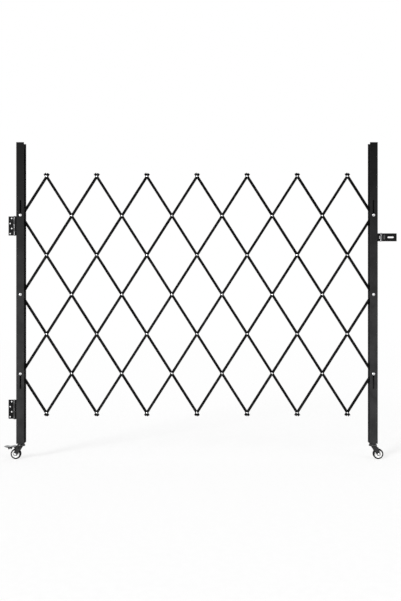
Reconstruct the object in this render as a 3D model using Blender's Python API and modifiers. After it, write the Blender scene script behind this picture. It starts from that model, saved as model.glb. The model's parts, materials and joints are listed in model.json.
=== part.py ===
"""Folding security gate of black steel: two channel posts on casters, joined by a riveted
lattice of crossed channel bars that folds sideways. It hangs on two hinges and shuts with a hasp.

X runs along the gate, Y through it with the front at -Y, and Z up from the floor."""

import math

import bmesh
import bpy
from mathutils import Matrix

# The whole gate, stretched to its full width
GATE_HEIGHT = 1.524
FLOOR_CLEARANCE = 0.077
MIDDLE_HEIGHT = 0.793
PIVOT_PITCH = 0.2255
OPEN_ANGLE = math.radians(32.45)
FOLDED_ANGLE = math.radians(5.0)
COLUMNS = 14
ROWS = 6

# Gaps between pieces, and how far a cutter runs past what it cuts
SEAT_GAP = 0.0003
RUNNING_GAP = 0.0003
OVERRUN = 0.002
WELD_DISTANCE = 0.00001

# Posts, each a channel bent from sheet with its open side towards the lattice
POST_FLANGE = 0.038
POST_DEPTH = 0.040
POST_WALL = 0.002
POST_BEND = 0.0035
PIVOT_INSET = 0.021

# Lattice bars, small channels riveted back to back with their open sides out
BAR_WIDTH = 0.0127
BAR_DEPTH = 0.00635
BAR_WALL = 0.0015
BAR_BEND = 0.0021
BAR_END = 0.0165
WEB_GAP = 0.0004
RIVET_RADIUS = 0.0024
RIVET_HEAD_RADIUS = 0.0042
RIVET_HEAD_HEIGHT = 0.0024
RIVET_TOP_SHARE = 0.6

# Pivot bolts through the posts, with the spacer sleeves that centre the bars on them
BOLT_RADIUS = 0.0035
BOLT_HEAD_RADIUS = 0.0075
BOLT_HEAD_HEIGHT = 0.005
BOLT_DOME_SHARES = ((0.62, 0.84), (0.94, 0.38))
BOLT_TIP = 0.0015
SLEEVE_CLEARANCE = 0.00045
SLOT_CLEARANCE = 0.0005
NUT_HEIGHT = 0.006
NUT_FLATS = 0.0125

# Butt hinges on the left post
HINGE_HEIGHT = 0.092
UPPER_HINGE_RISE = 0.3295
LOWER_HINGE_LEVEL = 0.2415
LEAF_REACH = 0.0315
LEAF_THICKNESS = 0.002
LEAF_CORNER = 0.0025
BARREL_RADIUS = 0.0065
KNUCKLES = 5
KNUCKLE_GAP = 0.0005
HINGE_CLEARANCE = 0.0004
HINGE_PIN_RADIUS = 0.0032
PIN_HEAD_OVERLAP = 0.0015
PIN_HEAD_HEIGHT = 0.0008
SWING_CLEARANCE = 0.0015
SCREW_HOLE_RADIUS = 0.0034
SCREW_HOLE_NEAR = 0.0165
SCREW_HOLE_FAR = 0.0238
SCREW_HOLE_MARGIN = 0.0094
SCREW_HOLES = 4

# Hasp on the right post
HASP_RISE = 0.2755
HASP_HEIGHT = 0.0385
HASP_THICKNESS = 0.002
HASP_CORNER = 0.003
HASP_BARREL_RADIUS = 0.006
HASP_PIN_RADIUS = 0.003
HASP_STANDOFF = 0.0165
HASP_SETBACK = 0.007
HASP_REACH = 0.0934
HASP_BASE_DEPTH = 0.029
HASP_KNUCKLES = 3
HASP_SLOT_SETBACK = 0.0294
HASP_SLOT_LENGTH = 0.030
HASP_SLOT_RADIUS = 0.0038
HASP_PAD_NEAR = 0.0285
HASP_PAD_SETBACK = 0.0109
HASP_PAD_RAMP = 0.0095
HASP_PAD_EDGE = 0.0012
HASP_PAD_HALF_HEIGHT = 0.0100
HASP_PAD_RISE = 0.0014
HASP_SCREW_RADIUS = 0.0022
HASP_SCREW_MARGIN = 0.00725

# Brackets that close the posts' feet and carry the casters
BRACKET_WALL = 0.0025
BRACKET_BEND = 0.0035
BRACKET_EAR = 0.018
STEM_RADIUS = 0.005
STEM_TOP = 0.0165
STEM_NUT_FLATS = 0.016
STEM_NUT_HEIGHT = 0.008
COLLAR_RADIUS = 0.011
COLLAR_HEIGHT = 0.003
CUP_RADIUS = 0.0185
CUP_DROP = 0.0065
CUP_SHARES = ((0.76, 0.0), (1.0, 0.45), (1.0, 1.0))
KINGPIN_RADIUS = 0.004
KINGPIN_HEAD_RADIUS = 0.0065
KINGPIN_HEAD_HEIGHT = 0.0025

# Casters
WHEEL_RADIUS = 0.025
WHEEL_WIDTH = 0.017
TYRE_THICKNESS = 0.006
TYRE_SHOULDER = 0.003
HUB_LENGTH = 0.021
HUB_BOSS_RADIUS = 0.0075
HUB_RIM = 0.0035
HUB_DISH = 0.004
TRAIL = 0.0245
CROWN_RADIUS = 0.0195
CROWN_THICKNESS = 0.003
ARM_THICKNESS = 0.002
ARM_END_RADIUS = 0.0085
ARM_FRONT = 0.009
ARM_BACK = 0.014
ARM_SHOULDER = 0.0245
SHOULDER_TOP = 0.0065
SHOULDER_FOOT = 0.0125
AXLE_RADIUS = 0.003
AXLE_HEAD_RADIUS = 0.0065
AXLE_HEAD_HEIGHT = 0.004

# Brake pedal on the left caster
PEDAL_REACH = 0.0825
PEDAL_ROOT = 0.0252
PEDAL_LEVEL = 0.0615
PEDAL_WAVE = 0.0015
PEDAL_DROOP = 0.002
PEDAL_THICKNESS = 0.0018
PEDAL_HALF_WIDTH = 0.014
PEDAL_PIVOT_BACK = 0.008
PEDAL_PIVOT_LEVEL = 0.0555
CHEEK_THICKNESS = 0.0015
CHEEK_RADIUS = 0.0045
CHEEK_SEAT_SHARES = (0.02, 0.14)
CURL_NEAR = 0.042
CURL_FAR = 0.063
CURL_DEPTH = 0.0125
CURL_HALF_WIDTH = 0.005
CURLS = 2
BRAKE_PIN_RADIUS = 0.002
BRAKE_PIN_HEAD = 0.0012

# How many flats stand for a round, and a quarter round
RIVET_SIDES = 6
BOLT_SIDES = 8
HINGE_SIDES = 10
CASTER_SIDES = 16
QUARTER_STEPS = 2
CRISP_ANGLE = math.radians(50)

# Places that follow from the sizes above
COLUMN_STEP = PIVOT_PITCH * math.sin(OPEN_ANGLE)
ROW_STEP = PIVOT_PITCH * math.cos(OPEN_ANGLE)
SLOT_TRAVEL = 2 * PIVOT_PITCH * (math.cos(FOLDED_ANGLE) - math.cos(OPEN_ANGLE))
SWIVEL_OFFSET = PIVOT_INSET - POST_FLANGE / 2
LEFT_REACH = SWIVEL_OFFSET + PEDAL_REACH
RIGHT_REACH = PIVOT_INSET + HASP_REACH
GATE_SPREAD = COLUMNS * COLUMN_STEP
LEFT_PIVOT_X = -(LEFT_REACH + GATE_SPREAD + RIGHT_REACH) / 2 + LEFT_REACH
MIDDLE_ROW = ROWS // 2
FRONT = -POST_DEPTH / 2
BAR_SEAT = WEB_GAP / 2 + BAR_WALL + RUNNING_GAP
HASP_AXIS_Y = FRONT + HASP_SETBACK
HASP_LEVEL = MIDDLE_HEIGHT + HASP_RISE
UPPER_HINGE_LEVEL = MIDDLE_HEIGHT + UPPER_HINGE_RISE
SCREW_HOLE_PITCH = (HINGE_HEIGHT - 2 * SCREW_HOLE_MARGIN) / (SCREW_HOLES - 1)
HINGE_AXIS_X = LEFT_PIVOT_X - PIVOT_INSET - SEAT_GAP - BARREL_RADIUS
HINGE_AXIS_Y = FRONT + BARREL_RADIUS - LEAF_THICKNESS - SWING_CLEARANCE
ARM_INNER = HUB_LENGTH / 2 + RUNNING_GAP
ARM_OUTER = ARM_INNER + ARM_THICKNESS
CHEEK_OUTER = ARM_INNER - RUNNING_GAP
CHEEK_INNER = CHEEK_OUTER - CHEEK_THICKNESS
CUP_TOP = FLOOR_CLEARANCE - SEAT_GAP - COLLAR_HEIGHT
CUP_FOOT = CUP_TOP - CUP_DROP
CROWN_TOP = CUP_FOOT - RUNNING_GAP
CROWN_FOOT = CROWN_TOP - CROWN_THICKNESS


def remove_all_objects():
    for obj in list(bpy.data.objects):
        bpy.data.objects.remove(obj, do_unlink=True)


def new_collection(name):
    collection = bpy.data.collections.new(name)
    bpy.context.scene.collection.children.link(collection)
    return collection


def new_material(name, colour, roughness, metallic):
    material = bpy.data.materials.new(name)
    material.use_nodes = True
    shader = material.node_tree.nodes["Principled BSDF"]
    shader.inputs["Base Color"].default_value = (*colour, 1.0)
    shader.inputs["Roughness"].default_value = roughness
    shader.inputs["Metallic"].default_value = metallic
    material.diffuse_color = (*colour, 1.0)
    return material


remove_all_objects()
PARTS = new_collection("folding_security_gate")
CUTTERS = new_collection("cutters")

# Finishes: colour, roughness and how metallic it is
FINISHES = {
    "black_powder_coat": ((0.035, 0.035, 0.036), 0.45, 0.0),
    "black_plating": ((0.012, 0.012, 0.012), 0.38, 0.6),
    "zinc_plate": ((0.72, 0.73, 0.74), 0.3, 1.0),
    "pale_nylon": ((0.82, 0.82, 0.80), 0.45, 0.0),
    "black_rubber": ((0.02, 0.02, 0.02), 0.7, 0.0),
}


# Outlines, as lists of points in a plane


def arc(x, y, radius, start, end, steps):
    """Points of an arc from one angle to another, in degrees, with both ends."""
    angles = [math.radians(start + (end - start) * i / steps) for i in range(steps + 1)]
    return [(x + radius * math.cos(a), y + radius * math.sin(a)) for a in angles]


def circle(x, y, radius, sides):
    """A polygon whose corners lie on the circle."""
    return arc(x, y, radius, 0, 360, sides)[:-1]


def round_hole(x, y, radius, sides):
    """A polygon whose flats touch the circle, so that a pin of that radius clears it."""
    return circle(x, y, radius / math.cos(math.pi / sides), sides)


def upright_slot(x, low, high, radius, steps):
    """A round-ended slot between two end centres, one above the other."""
    top = arc(x, high, radius, 0, 180, 2 * steps)
    return top + arc(x, low, radius, 180, 360, 2 * steps)


def level_slot(near, far, y, radius, steps):
    """A round-ended slot between two end centres, side by side."""
    right = arc(far, y, radius, -90, 90, 2 * steps)
    return right + arc(near, y, radius, 90, 270, 2 * steps)


def hexagon(flats):
    return round_hole(0, 0, flats / 2, 6)


def rectangle(x0, x1, y0, y1):
    return [(x0, y0), (x1, y0), (x1, y1), (x0, y1)]


def end_rounded(x0, x1, y0, y1, radius, steps):
    """A rectangle whose two corners at x1 are rounded."""
    corner = arc(x1 - radius, y1 - radius, radius, 90, 0, steps)
    return [(x0, y0), (x0, y1)] + corner + [(x, y0 + y1 - y) for x, y in reversed(corner)]


def channel_section(width, depth, wall, bend, steps):
    """A U of bent sheet: the outer face of its web on y = 0, its flanges running to y = depth."""
    side, inner = width / 2 - bend, bend - wall
    outside = arc(side, bend, bend, 0, -90, steps) + arc(-side, bend, bend, -90, -180, steps)
    inside = arc(-side, bend, inner, 180, 270, steps) + arc(side, bend, inner, 270, 360, steps)
    tips = [(-width / 2, depth), (-width / 2 + wall, depth)]
    return [(width / 2, depth)] + outside + tips + inside + [(width / 2 - wall, depth)]


def strip_outline(line, thickness):
    """A strip of even thickness that follows a line of points."""
    over, under = [], []
    for i, (x, y) in enumerate(line):
        (x0, y0), (x1, y1) = line[max(i - 1, 0)], line[min(i + 1, len(line) - 1)]
        length = math.hypot(x1 - x0, y1 - y0)
        dx, dy = (y0 - y1) / length * thickness / 2, (x1 - x0) / length * thickness / 2
        over.append((x + dx, y + dy))
        under.append((x - dx, y - dy))
    return over + under[::-1]


def tangent_angle(centre, radius, point, side):
    """The angle, in degrees, at which a line from a point touches a circle on one side."""
    dx, dy = point[0] - centre[0], point[1] - centre[1]
    spread = math.acos(radius / math.hypot(dx, dy))
    return math.degrees(math.atan2(dy, dx) + side * spread)


# Meshes made by Blender's own tools


def evaluated_mesh(obj):
    """The mesh that an object's curve or modifiers give; the object itself is removed."""
    graph = bpy.context.evaluated_depsgraph_get()
    graph.update()
    mesh = bpy.data.meshes.new_from_object(obj.evaluated_get(graph))
    bpy.data.objects.remove(obj, do_unlink=True)
    shape = bmesh.new()
    shape.from_mesh(mesh)
    bmesh.ops.remove_doubles(shape, verts=shape.verts, dist=WELD_DISTANCE)
    bmesh.ops.recalc_face_normals(shape, faces=shape.faces)
    shape.to_mesh(mesh)
    shape.free()
    mesh.materials.clear()
    return mesh


def prism(outlines, low, high):
    """Flat outlines in XY, the inner ones as holes, drawn out along Z from low to high."""
    curve = bpy.data.curves.new("outline", "CURVE")
    curve.dimensions = "2D"
    curve.fill_mode = "BOTH"
    curve.extrude = (high - low) / 2
    for outline in outlines:
        spline = curve.splines.new("POLY")
        spline.points.add(len(outline) - 1)
        for point, (x, y) in zip(spline.points, outline):
            point.co = (x, y, 0, 1)
        spline.use_cyclic_u = True
    obj = bpy.data.objects.new("outline", curve)
    bpy.context.scene.collection.objects.link(obj)
    mesh = evaluated_mesh(obj)
    mesh.transform(Matrix.Translation((0, 0, (low + high) / 2)))
    return mesh


UPRIGHT = Matrix.Rotation(math.radians(90), 4, "X")


def plate(outlines, front, back):
    """Outlines in XZ, the inner ones as holes, as a plate between two depths in Y."""
    mesh = prism(outlines, -back, -front)
    mesh.transform(UPRIGHT)
    return mesh


def turned(profile, sides):
    """A profile of (radius, height), top to bottom, turned about Z."""
    mesh = bpy.data.meshes.new("profile")
    points = [(radius, 0, height) for radius, height in profile]
    mesh.from_pydata(points, [(i, i + 1) for i in range(len(points) - 1)], [])
    obj = bpy.data.objects.new("profile", mesh)
    bpy.context.scene.collection.objects.link(obj)
    screw = obj.modifiers.new("turn", "SCREW")
    screw.steps = screw.render_steps = sides
    screw.use_merge_vertices = True
    screw.merge_threshold = WELD_DISTANCE
    screw.use_smooth_shade = False
    return evaluated_mesh(obj)


def turned_to_front(profile, sides):
    """The same, turned about Y, with the top of the profile at the front."""
    mesh = turned(profile, sides)
    mesh.transform(UPRIGHT)
    return mesh


def block(x0, x1, y0, y1, z0, z1):
    mesh = bpy.data.meshes.new("block")
    shape = bmesh.new()
    bmesh.ops.create_cube(shape, size=1)
    size = Matrix.Diagonal((x1 - x0, y1 - y0, z1 - z0, 1))
    shape.transform(Matrix.Translation(((x0 + x1) / 2, (y0 + y1) / 2, (z0 + z1) / 2)) @ size)
    shape.to_mesh(mesh)
    shape.free()
    return mesh


def merged(meshes):
    """Several meshes that don't touch, as one."""
    shape = bmesh.new()
    for mesh in meshes:
        shape.from_mesh(mesh)
    mesh = bpy.data.meshes.new("set")
    shape.to_mesh(mesh)
    shape.free()
    return mesh


def moved(mesh, x, y, z):
    copy = mesh.copy()
    copy.transform(Matrix.Translation((x, y, z)))
    return copy


# Objects, their cuts, and what carries them


def piece(name, mesh, finish, place=Matrix()):
    """A named piece; place carries its own axes, whose origin lies on the axis it turns about."""
    if finish not in bpy.data.materials:
        new_material(finish, *FINISHES[finish])
    mesh.name = name
    obj = bpy.data.objects.new(name, mesh)
    obj.data.materials.append(bpy.data.materials[finish])
    obj.matrix_world = place
    PARTS.objects.link(obj)
    return obj


def tool(obj, label, mesh, operation):
    """A cutter or an added shape, in the object's own axes, used by a Boolean modifier on it."""
    helper = bpy.data.objects.new(f"{obj.name}_{label}", mesh)
    helper.matrix_world = obj.matrix_world
    helper.hide_render = True
    helper.display_type = "WIRE"
    CUTTERS.objects.link(helper)
    boolean = obj.modifiers.new(label, "BOOLEAN")
    boolean.operation = operation
    boolean.solver = "EXACT"
    boolean.object = helper


def cut(obj, label, mesh):
    tool(obj, label, mesh, "DIFFERENCE")


def fuse(obj, label, mesh):
    tool(obj, label, mesh, "UNION")


def shading_by_angle():
    """A modifier's node group that shades a shape smooth except where it bends sharply."""
    group = bpy.data.node_groups.new("shading_by_angle", "GeometryNodeTree")
    group.interface.new_socket("Geometry", in_out="INPUT", socket_type="NodeSocketGeometry")
    group.interface.new_socket("Geometry", in_out="OUTPUT", socket_type="NodeSocketGeometry")
    source = group.nodes.new("NodeGroupInput")
    result = group.nodes.new("NodeGroupOutput")
    angle = group.nodes.new("GeometryNodeInputMeshEdgeAngle")
    gentle = group.nodes.new("FunctionNodeCompare")
    gentle.operation = "LESS_THAN"
    gentle.inputs["B"].default_value = CRISP_ANGLE
    faces = group.nodes.new("GeometryNodeSetShadeSmooth")
    edges = group.nodes.new("GeometryNodeSetShadeSmooth")
    edges.domain = "EDGE"
    group.links.new(angle.outputs["Unsigned Angle"], gentle.inputs["A"])
    group.links.new(gentle.outputs["Result"], edges.inputs["Shade Smooth"])
    group.links.new(source.outputs["Geometry"], faces.inputs["Geometry"])
    group.links.new(faces.outputs["Geometry"], edges.inputs["Geometry"])
    group.links.new(edges.outputs["Geometry"], result.inputs["Geometry"])
    return group


def carry(carrier, *riders):
    """The riders move with their carrier and stay where they are."""
    bpy.context.view_layer.update()
    for rider in riders:
        rider.parent = carrier
        rider.matrix_parent_inverse = carrier.matrix_world.inverted()


def axis_empty(name, x, y, z):
    empty = bpy.data.objects.new(name, None)
    empty.location = (x, y, z)
    empty.empty_display_size = PIVOT_PITCH
    PARTS.objects.link(empty)
    return empty


# The lattice: a falling bar runs down to the right at the front, a rising one up to the right behind


def node_place(column, row):
    """Where a pivot of the lattice lies, counted from the left post and from the top."""
    x = LEFT_PIVOT_X + column * COLUMN_STEP
    return x, MIDDLE_HEIGHT + (MIDDLE_ROW - row) * ROW_STEP


def bar_nodes(rising, line):
    """(column, row) of each pivot on a bar. Its line is column + row if it rises, or column - row."""
    places = [(line - row if rising else line + row, row) for row in range(ROWS + 1)]
    return [(column, row) for column, row in places if 0 <= column <= COLUMNS]


def on_post(node):
    return node[0] in (0, COLUMNS)


def rivet():
    """One rivet of the lattice, its shank through both webs and a low head in each channel."""
    front, back = BAR_SEAT, WEB_GAP / 2 + BAR_WALL
    middle = WEB_GAP / 2 + BAR_WALL / 2
    radius, top = RIVET_HEAD_RADIUS, RIVET_HEAD_RADIUS * RIVET_TOP_SHARE
    sunk = radius + (radius - top) * (back - middle) / RIVET_HEAD_HEIGHT
    profile = [(0, front + RIVET_HEAD_HEIGHT), (top, front + RIVET_HEAD_HEIGHT), (radius, front)]
    profile += [(RIVET_RADIUS, front), (RIVET_RADIUS, -middle), (sunk, -middle)]
    profile += [(top, -back - RIVET_HEAD_HEIGHT), (0, -back - RIVET_HEAD_HEIGHT)]
    return turned_to_front(profile, RIVET_SIDES)


def lattice_bar(name, rising, line, pivot):
    """One channel bar, with its own Z along it and its origin on the pivot that carries it."""
    x, z = node_place(*pivot)
    lean = OPEN_ANGLE if rising else -OPEN_ANGLE
    place = Matrix.Translation((x, 0, z)) @ Matrix.Rotation(lean, 4, "Y")
    nodes = bar_nodes(rising, line)
    along = {node: (pivot[1] - node[1]) * PIVOT_PITCH for node in nodes}
    section = channel_section(BAR_WIDTH, BAR_DEPTH, BAR_WALL, BAR_BEND, QUARTER_STEPS)
    side = 1 if rising else -1
    section = [(x, side * (y + WEB_GAP / 2)) for x, y in section]
    mesh = prism([section], min(along.values()) - BAR_END, max(along.values()) + BAR_END)
    bar = piece(name, mesh, "black_powder_coat", place)
    bolts = [along[node] for node in nodes if on_post(node)]
    rivets = [along[node] for node in nodes if not on_post(node)]
    holes = [round_hole(0, z, BOLT_RADIUS + RUNNING_GAP, BOLT_SIDES) for z in bolts]
    if rising:
        shape = rivet()
        fuse(bar, "rivets", merged([moved(shape, 0, 0, z) for z in rivets]))
    else:
        holes += [round_hole(0, z, RIVET_RADIUS + RUNNING_GAP, RIVET_SIDES) for z in rivets]
    if holes:
        reach = BAR_WALL + WEB_GAP / 2 + OVERRUN
        near, far = (WEB_GAP / 4, reach) if rising else (-reach, -WEB_GAP / 4)
        cut(bar, "holes", plate(holes, near, far))
    return bar


# Which bar carries each bar: (rises, line) of the one carried, then of its carrier
CARRIERS = {
    (True, 3): None,
    (False, -3): None,
    (False, -1): (True, 3),
    (False, 1): (True, 3),
    (False, 3): (True, 3),
    (True, 5): (False, -3),
    (True, 7): (False, -3),
    (True, 9): (False, -3),
    (True, 1): (False, 1),
    (False, -5): (True, 7),
    (True, 11): (False, 3),
    (True, 13): (False, 3),
    (True, 15): (False, 3),
    (False, 5): (True, 9),
    (False, 7): (True, 9),
    (False, 9): (True, 9),
    (False, 11): (True, 15),
    (False, 13): (True, 15),
    (True, 17): (False, 9),
    (True, 19): (False, 9),
}


def bar_name(rising, line):
    """Bars are counted from the left, the falling front ones and the rising rear ones apart."""
    number = (line + 1) // 2 if rising else (line + ROWS + 1) // 2
    return f"{'rear' if rising else 'front'}_bar_{number:02d}"


def crossing(bar, other):
    """The pivot where a rising and a falling bar cross."""
    rise, fall = (bar[1], other[1]) if bar[0] else (other[1], bar[1])
    return (rise + fall) // 2, (rise - fall) // 2


def make_lattice():
    bars = {}
    for bar, carrier in CARRIERS.items():
        pivot = crossing(bar, carrier) if carrier else (0, MIDDLE_ROW)
        bars[bar] = lattice_bar(bar_name(*bar), *bar, pivot)
    for bar, carrier in CARRIERS.items():
        if carrier:
            carry(bars[carrier], bars[bar])
    return bars


# Posts, and the bolts that join the lattice to them


def make_post(name, side):
    """A post of the left (-1) or right (1) side, with a pivot hole between two slots."""
    column = 0 if side < 0 else COLUMNS
    x = node_place(column, MIDDLE_ROW)[0]
    section = channel_section(POST_DEPTH, POST_FLANGE, POST_WALL, POST_BEND, QUARTER_STEPS)
    mesh = prism([section], FLOOR_CLEARANCE, GATE_HEIGHT)
    mesh.transform(Matrix.Rotation(math.radians(90) * side, 4, "Z"))
    mesh.transform(Matrix.Translation((side * PIVOT_INSET, 0, -MIDDLE_HEIGHT)))
    post = piece(name, mesh, "black_powder_coat", Matrix.Translation((x, 0, MIDDLE_HEIGHT)))
    rise = (MIDDLE_ROW - 1) * ROW_STEP
    slot = BOLT_RADIUS + SLOT_CLEARANCE
    openings = [
        round_hole(0, 0, BOLT_RADIUS + RUNNING_GAP, BOLT_SIDES),
        upright_slot(0, rise, rise + SLOT_TRAVEL, slot, QUARTER_STEPS),
        upright_slot(0, -rise - SLOT_TRAVEL, -rise, slot, QUARTER_STEPS),
    ]
    cut(post, "openings", plate(openings, FRONT - OVERRUN, -FRONT + OVERRUN))
    return post


def pivot_bolt(name, place):
    """A domed bolt through a post, with the two sleeves that keep the bars in the middle."""
    seat = POST_DEPTH / 2 + RUNNING_GAP
    inside = POST_DEPTH / 2 - POST_WALL - RUNNING_GAP
    sleeve = BAR_WIDTH / 2 - BAR_WALL - SLEEVE_CLEARANCE
    tip = seat + NUT_HEIGHT + BOLT_TIP
    profile = [(0, seat + BOLT_HEAD_HEIGHT)]
    profile += [(BOLT_HEAD_RADIUS * r, seat + BOLT_HEAD_HEIGHT * h) for r, h in BOLT_DOME_SHARES]
    profile += [(BOLT_HEAD_RADIUS, seat), (BOLT_RADIUS, seat)]
    for high, low in ((inside, BAR_SEAT), (-BAR_SEAT, -inside)):
        profile += [(BOLT_RADIUS, high), (sleeve, high), (sleeve, low), (BOLT_RADIUS, low)]
    profile += [(BOLT_RADIUS, -tip), (0, -tip)]
    return piece(name, turned_to_front(profile, BOLT_SIDES), "zinc_plate", place)


def pivot_nut(name, place):
    seat = POST_DEPTH / 2 + RUNNING_GAP
    bore = round_hole(0, 0, BOLT_RADIUS + RUNNING_GAP, BOLT_SIDES)
    return piece(name, plate([hexagon(NUT_FLATS), bore], seat, seat + NUT_HEIGHT), "zinc_plate", place)


def make_pivots(posts, bars):
    """The middle bolts stay with their post, and the others slide in its slots with a bar."""
    carriers = {
        "left_upper": (0, 1, bars[False, -1]),
        "left_middle": (0, 3, posts[0]),
        "left_lower": (0, 5, bars[True, 5]),
        "right_upper": (COLUMNS, 1, bars[True, 15]),
        "right_middle": (COLUMNS, 3, posts[1]),
        "right_lower": (COLUMNS, 5, bars[False, 9]),
    }
    for label, (column, row, carrier) in carriers.items():
        x, z = node_place(column, row)
        place = Matrix.Translation((x, 0, z))
        carry(carrier, pivot_bolt(f"pivot_bolt_{label}", place), pivot_nut(f"pivot_nut_{label}", place))


# Hinges and hasp: knuckled plates about an upright pin


def knuckle_cuts(height, radius, count, own):
    """Blocks that clear the other leaf's knuckles, and leave those of this leaf."""
    reach = radius + HINGE_CLEARANCE
    blocks = []
    for i in range(count):
        if i in own:
            continue
        low = -height / 2 + i * height / count - KNUCKLE_GAP / 2
        high = low + height / count + KNUCKLE_GAP
        low -= OVERRUN if i == 0 else 0
        high += OVERRUN if i == count - 1 else 0
        blocks.append(block(-reach, reach, -reach, reach, low, high))
    return merged(blocks)


def add_knuckles(leaf, height, radius, pin, count, own):
    """A barrel along the leaf's own Z, cut into its knuckles and bored for the pin."""
    barrel = prism([circle(0, 0, radius, HINGE_SIDES)], -height / 2, height / 2)
    fuse(leaf, "barrel", barrel)
    cut(leaf, "knuckle_gaps", knuckle_cuts(height, radius, count, own))
    hole = round_hole(0, 0, pin + RUNNING_GAP, HINGE_SIDES)
    cut(leaf, "bore", prism([hole], -height / 2 - OVERRUN, height / 2 + OVERRUN))


def hinge_leaf(name, place, own):
    """A leaf from the pin outwards along its own X, on the -Y side of the barrel."""
    half = HINGE_HEIGHT / 2
    outline = end_rounded(0, LEAF_REACH, -half, half, LEAF_CORNER, QUARTER_STEPS)
    lowest = -(SCREW_HOLES - 1) * SCREW_HOLE_PITCH / 2
    outlines = [outline]
    for i in range(SCREW_HOLES):
        x = SCREW_HOLE_FAR if i % 2 == 0 else SCREW_HOLE_NEAR
        outlines.append(circle(x, lowest + i * SCREW_HOLE_PITCH, SCREW_HOLE_RADIUS, HINGE_SIDES))
    mesh = plate(outlines, -BARREL_RADIUS, LEAF_THICKNESS - BARREL_RADIUS)
    leaf = piece(name, mesh, "black_plating", place)
    add_knuckles(leaf, HINGE_HEIGHT, BARREL_RADIUS, HINGE_PIN_RADIUS, KNUCKLES, own)
    return leaf


def headed_pin(name, place, length, radius):
    """An upright pin with a low head at each end, a running gap clear of its barrel."""
    end = length / 2 + RUNNING_GAP
    head, top = radius + PIN_HEAD_OVERLAP, end + PIN_HEAD_HEIGHT
    profile = [(0, top), (head, top), (head, end), (radius, end)]
    profile += [(r, -z) for r, z in reversed(profile)]
    return piece(name, turned(profile, HINGE_SIDES), "black_plating", place)


def make_hinge(label, level, post):
    """The wall leaf has the outer and middle knuckles, and the post leaf the two between."""
    here = Matrix.Translation((HINGE_AXIS_X, HINGE_AXIS_Y, level))
    outward = here @ Matrix.Rotation(math.radians(180), 4, "Z")
    backward = here @ Matrix.Rotation(math.radians(90), 4, "Z")
    hinge_leaf(f"wall_leaf_{label}", outward, range(0, KNUCKLES, 2))
    post_leaf = hinge_leaf(f"post_leaf_{label}", backward, range(1, KNUCKLES, 2))
    headed_pin(f"hinge_pin_{label}", here, HINGE_HEIGHT, HINGE_PIN_RADIUS)
    carry(post, post_leaf)


def hasp_base(place):
    """An angle: one side on the post's web, the other out to the barrel."""
    web = SEAT_GAP - HASP_STANDOFF
    near, far = HASP_BARREL_RADIUS - HASP_THICKNESS, HASP_BARREL_RADIUS
    back = near + HASP_BASE_DEPTH
    face = web + HASP_THICKNESS
    section = [(0, near), (0, far), (face, far), (face, back), (web, back), (web, near)]
    half = HASP_HEIGHT / 2
    base = piece("hasp_base", prism([section], -half, half), "black_plating", place)
    add_knuckles(base, HASP_HEIGHT, HASP_BARREL_RADIUS, HASP_PIN_RADIUS, HASP_KNUCKLES, (0, 2))
    middle = (far + back) / 2
    level = half - HASP_SCREW_MARGIN
    holes = [round_hole(z, middle, HASP_SCREW_RADIUS, BOLT_SIDES) for z in (-level, level)]
    screws = prism(holes, web - OVERRUN, face + OVERRUN)
    screws.transform(Matrix.Rotation(math.radians(90), 4, "Y"))
    cut(base, "screw_holes", screws)
    return base


def hasp_strap(place):
    """The strap, with a raised pad that stiffens it round the slot for the staple."""
    half = HASP_HEIGHT / 2
    reach = HASP_REACH - HASP_STANDOFF
    front, back = HASP_BARREL_RADIUS - HASP_THICKNESS, HASP_BARREL_RADIUS
    outline = end_rounded(0, reach, -half, half, HASP_CORNER, QUARTER_STEPS)
    strap = piece("hasp_strap", plate([outline], front, back), "black_plating", place)
    near, far = HASP_PAD_NEAR - HASP_STANDOFF, reach - HASP_PAD_SETBACK
    root, face = front + HASP_THICKNESS / 2, front - HASP_PAD_RISE
    sunk = (root - face) / HASP_PAD_RISE
    section = [
        (near + HASP_PAD_RAMP * (1 - sunk), root),
        (near + HASP_PAD_RAMP, face),
        (far - HASP_PAD_EDGE, face),
        (far - HASP_PAD_EDGE * (1 - sunk), root),
    ]
    fuse(strap, "pad", prism([section], -HASP_PAD_HALF_HEIGHT, HASP_PAD_HALF_HEIGHT))
    add_knuckles(strap, HASP_HEIGHT, HASP_BARREL_RADIUS, HASP_PIN_RADIUS, HASP_KNUCKLES, (1,))
    centre = reach - HASP_SLOT_SETBACK
    run = HASP_SLOT_LENGTH / 2 - HASP_SLOT_RADIUS
    slot = level_slot(centre - run, centre + run, 0, HASP_SLOT_RADIUS, QUARTER_STEPS)
    cut(strap, "slot", plate([slot], face - OVERRUN, back + OVERRUN))
    return strap


def make_hasp(post):
    x = node_place(COLUMNS, MIDDLE_ROW)[0] + PIVOT_INSET + HASP_STANDOFF
    here = Matrix.Translation((x, HASP_AXIS_Y, HASP_LEVEL))
    pin = headed_pin("hasp_pin", here, HASP_HEIGHT, HASP_PIN_RADIUS)
    carry(post, hasp_base(here), pin, hasp_strap(here))


# Casters: the origin of each piece's shape is the swivel axis on the floor, with X to the trail


def caster_bracket(name, place):
    """A U of thick sheet welded in the post's foot, with a hole for the stem."""
    width = POST_DEPTH - 2 * POST_WALL - 2 * SEAT_GAP
    section = channel_section(width, BRACKET_EAR, BRACKET_WALL, BRACKET_BEND, QUARTER_STEPS)
    section = [(x, y + FLOOR_CLEARANCE) for x, y in section]
    corner = POST_BEND - POST_WALL + RUNNING_GAP
    web_side = POST_FLANGE / 2 - POST_WALL - corner
    mesh = prism([section], -POST_FLANGE / 2, web_side)
    mesh.transform(Matrix(((0, 0, 1, 0), (1, 0, 0, 0), (0, 1, 0, 0), (0, 0, 0, 1))))
    bracket = piece(name, mesh, "black_powder_coat", place)
    hole = round_hole(0, 0, STEM_RADIUS + SEAT_GAP, BOLT_SIDES)
    floor, roof = FLOOR_CLEARANCE - OVERRUN, FLOOR_CLEARANCE + BRACKET_WALL + OVERRUN
    cut(bracket, "stem_hole", prism([hole], floor, roof))
    return bracket


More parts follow.
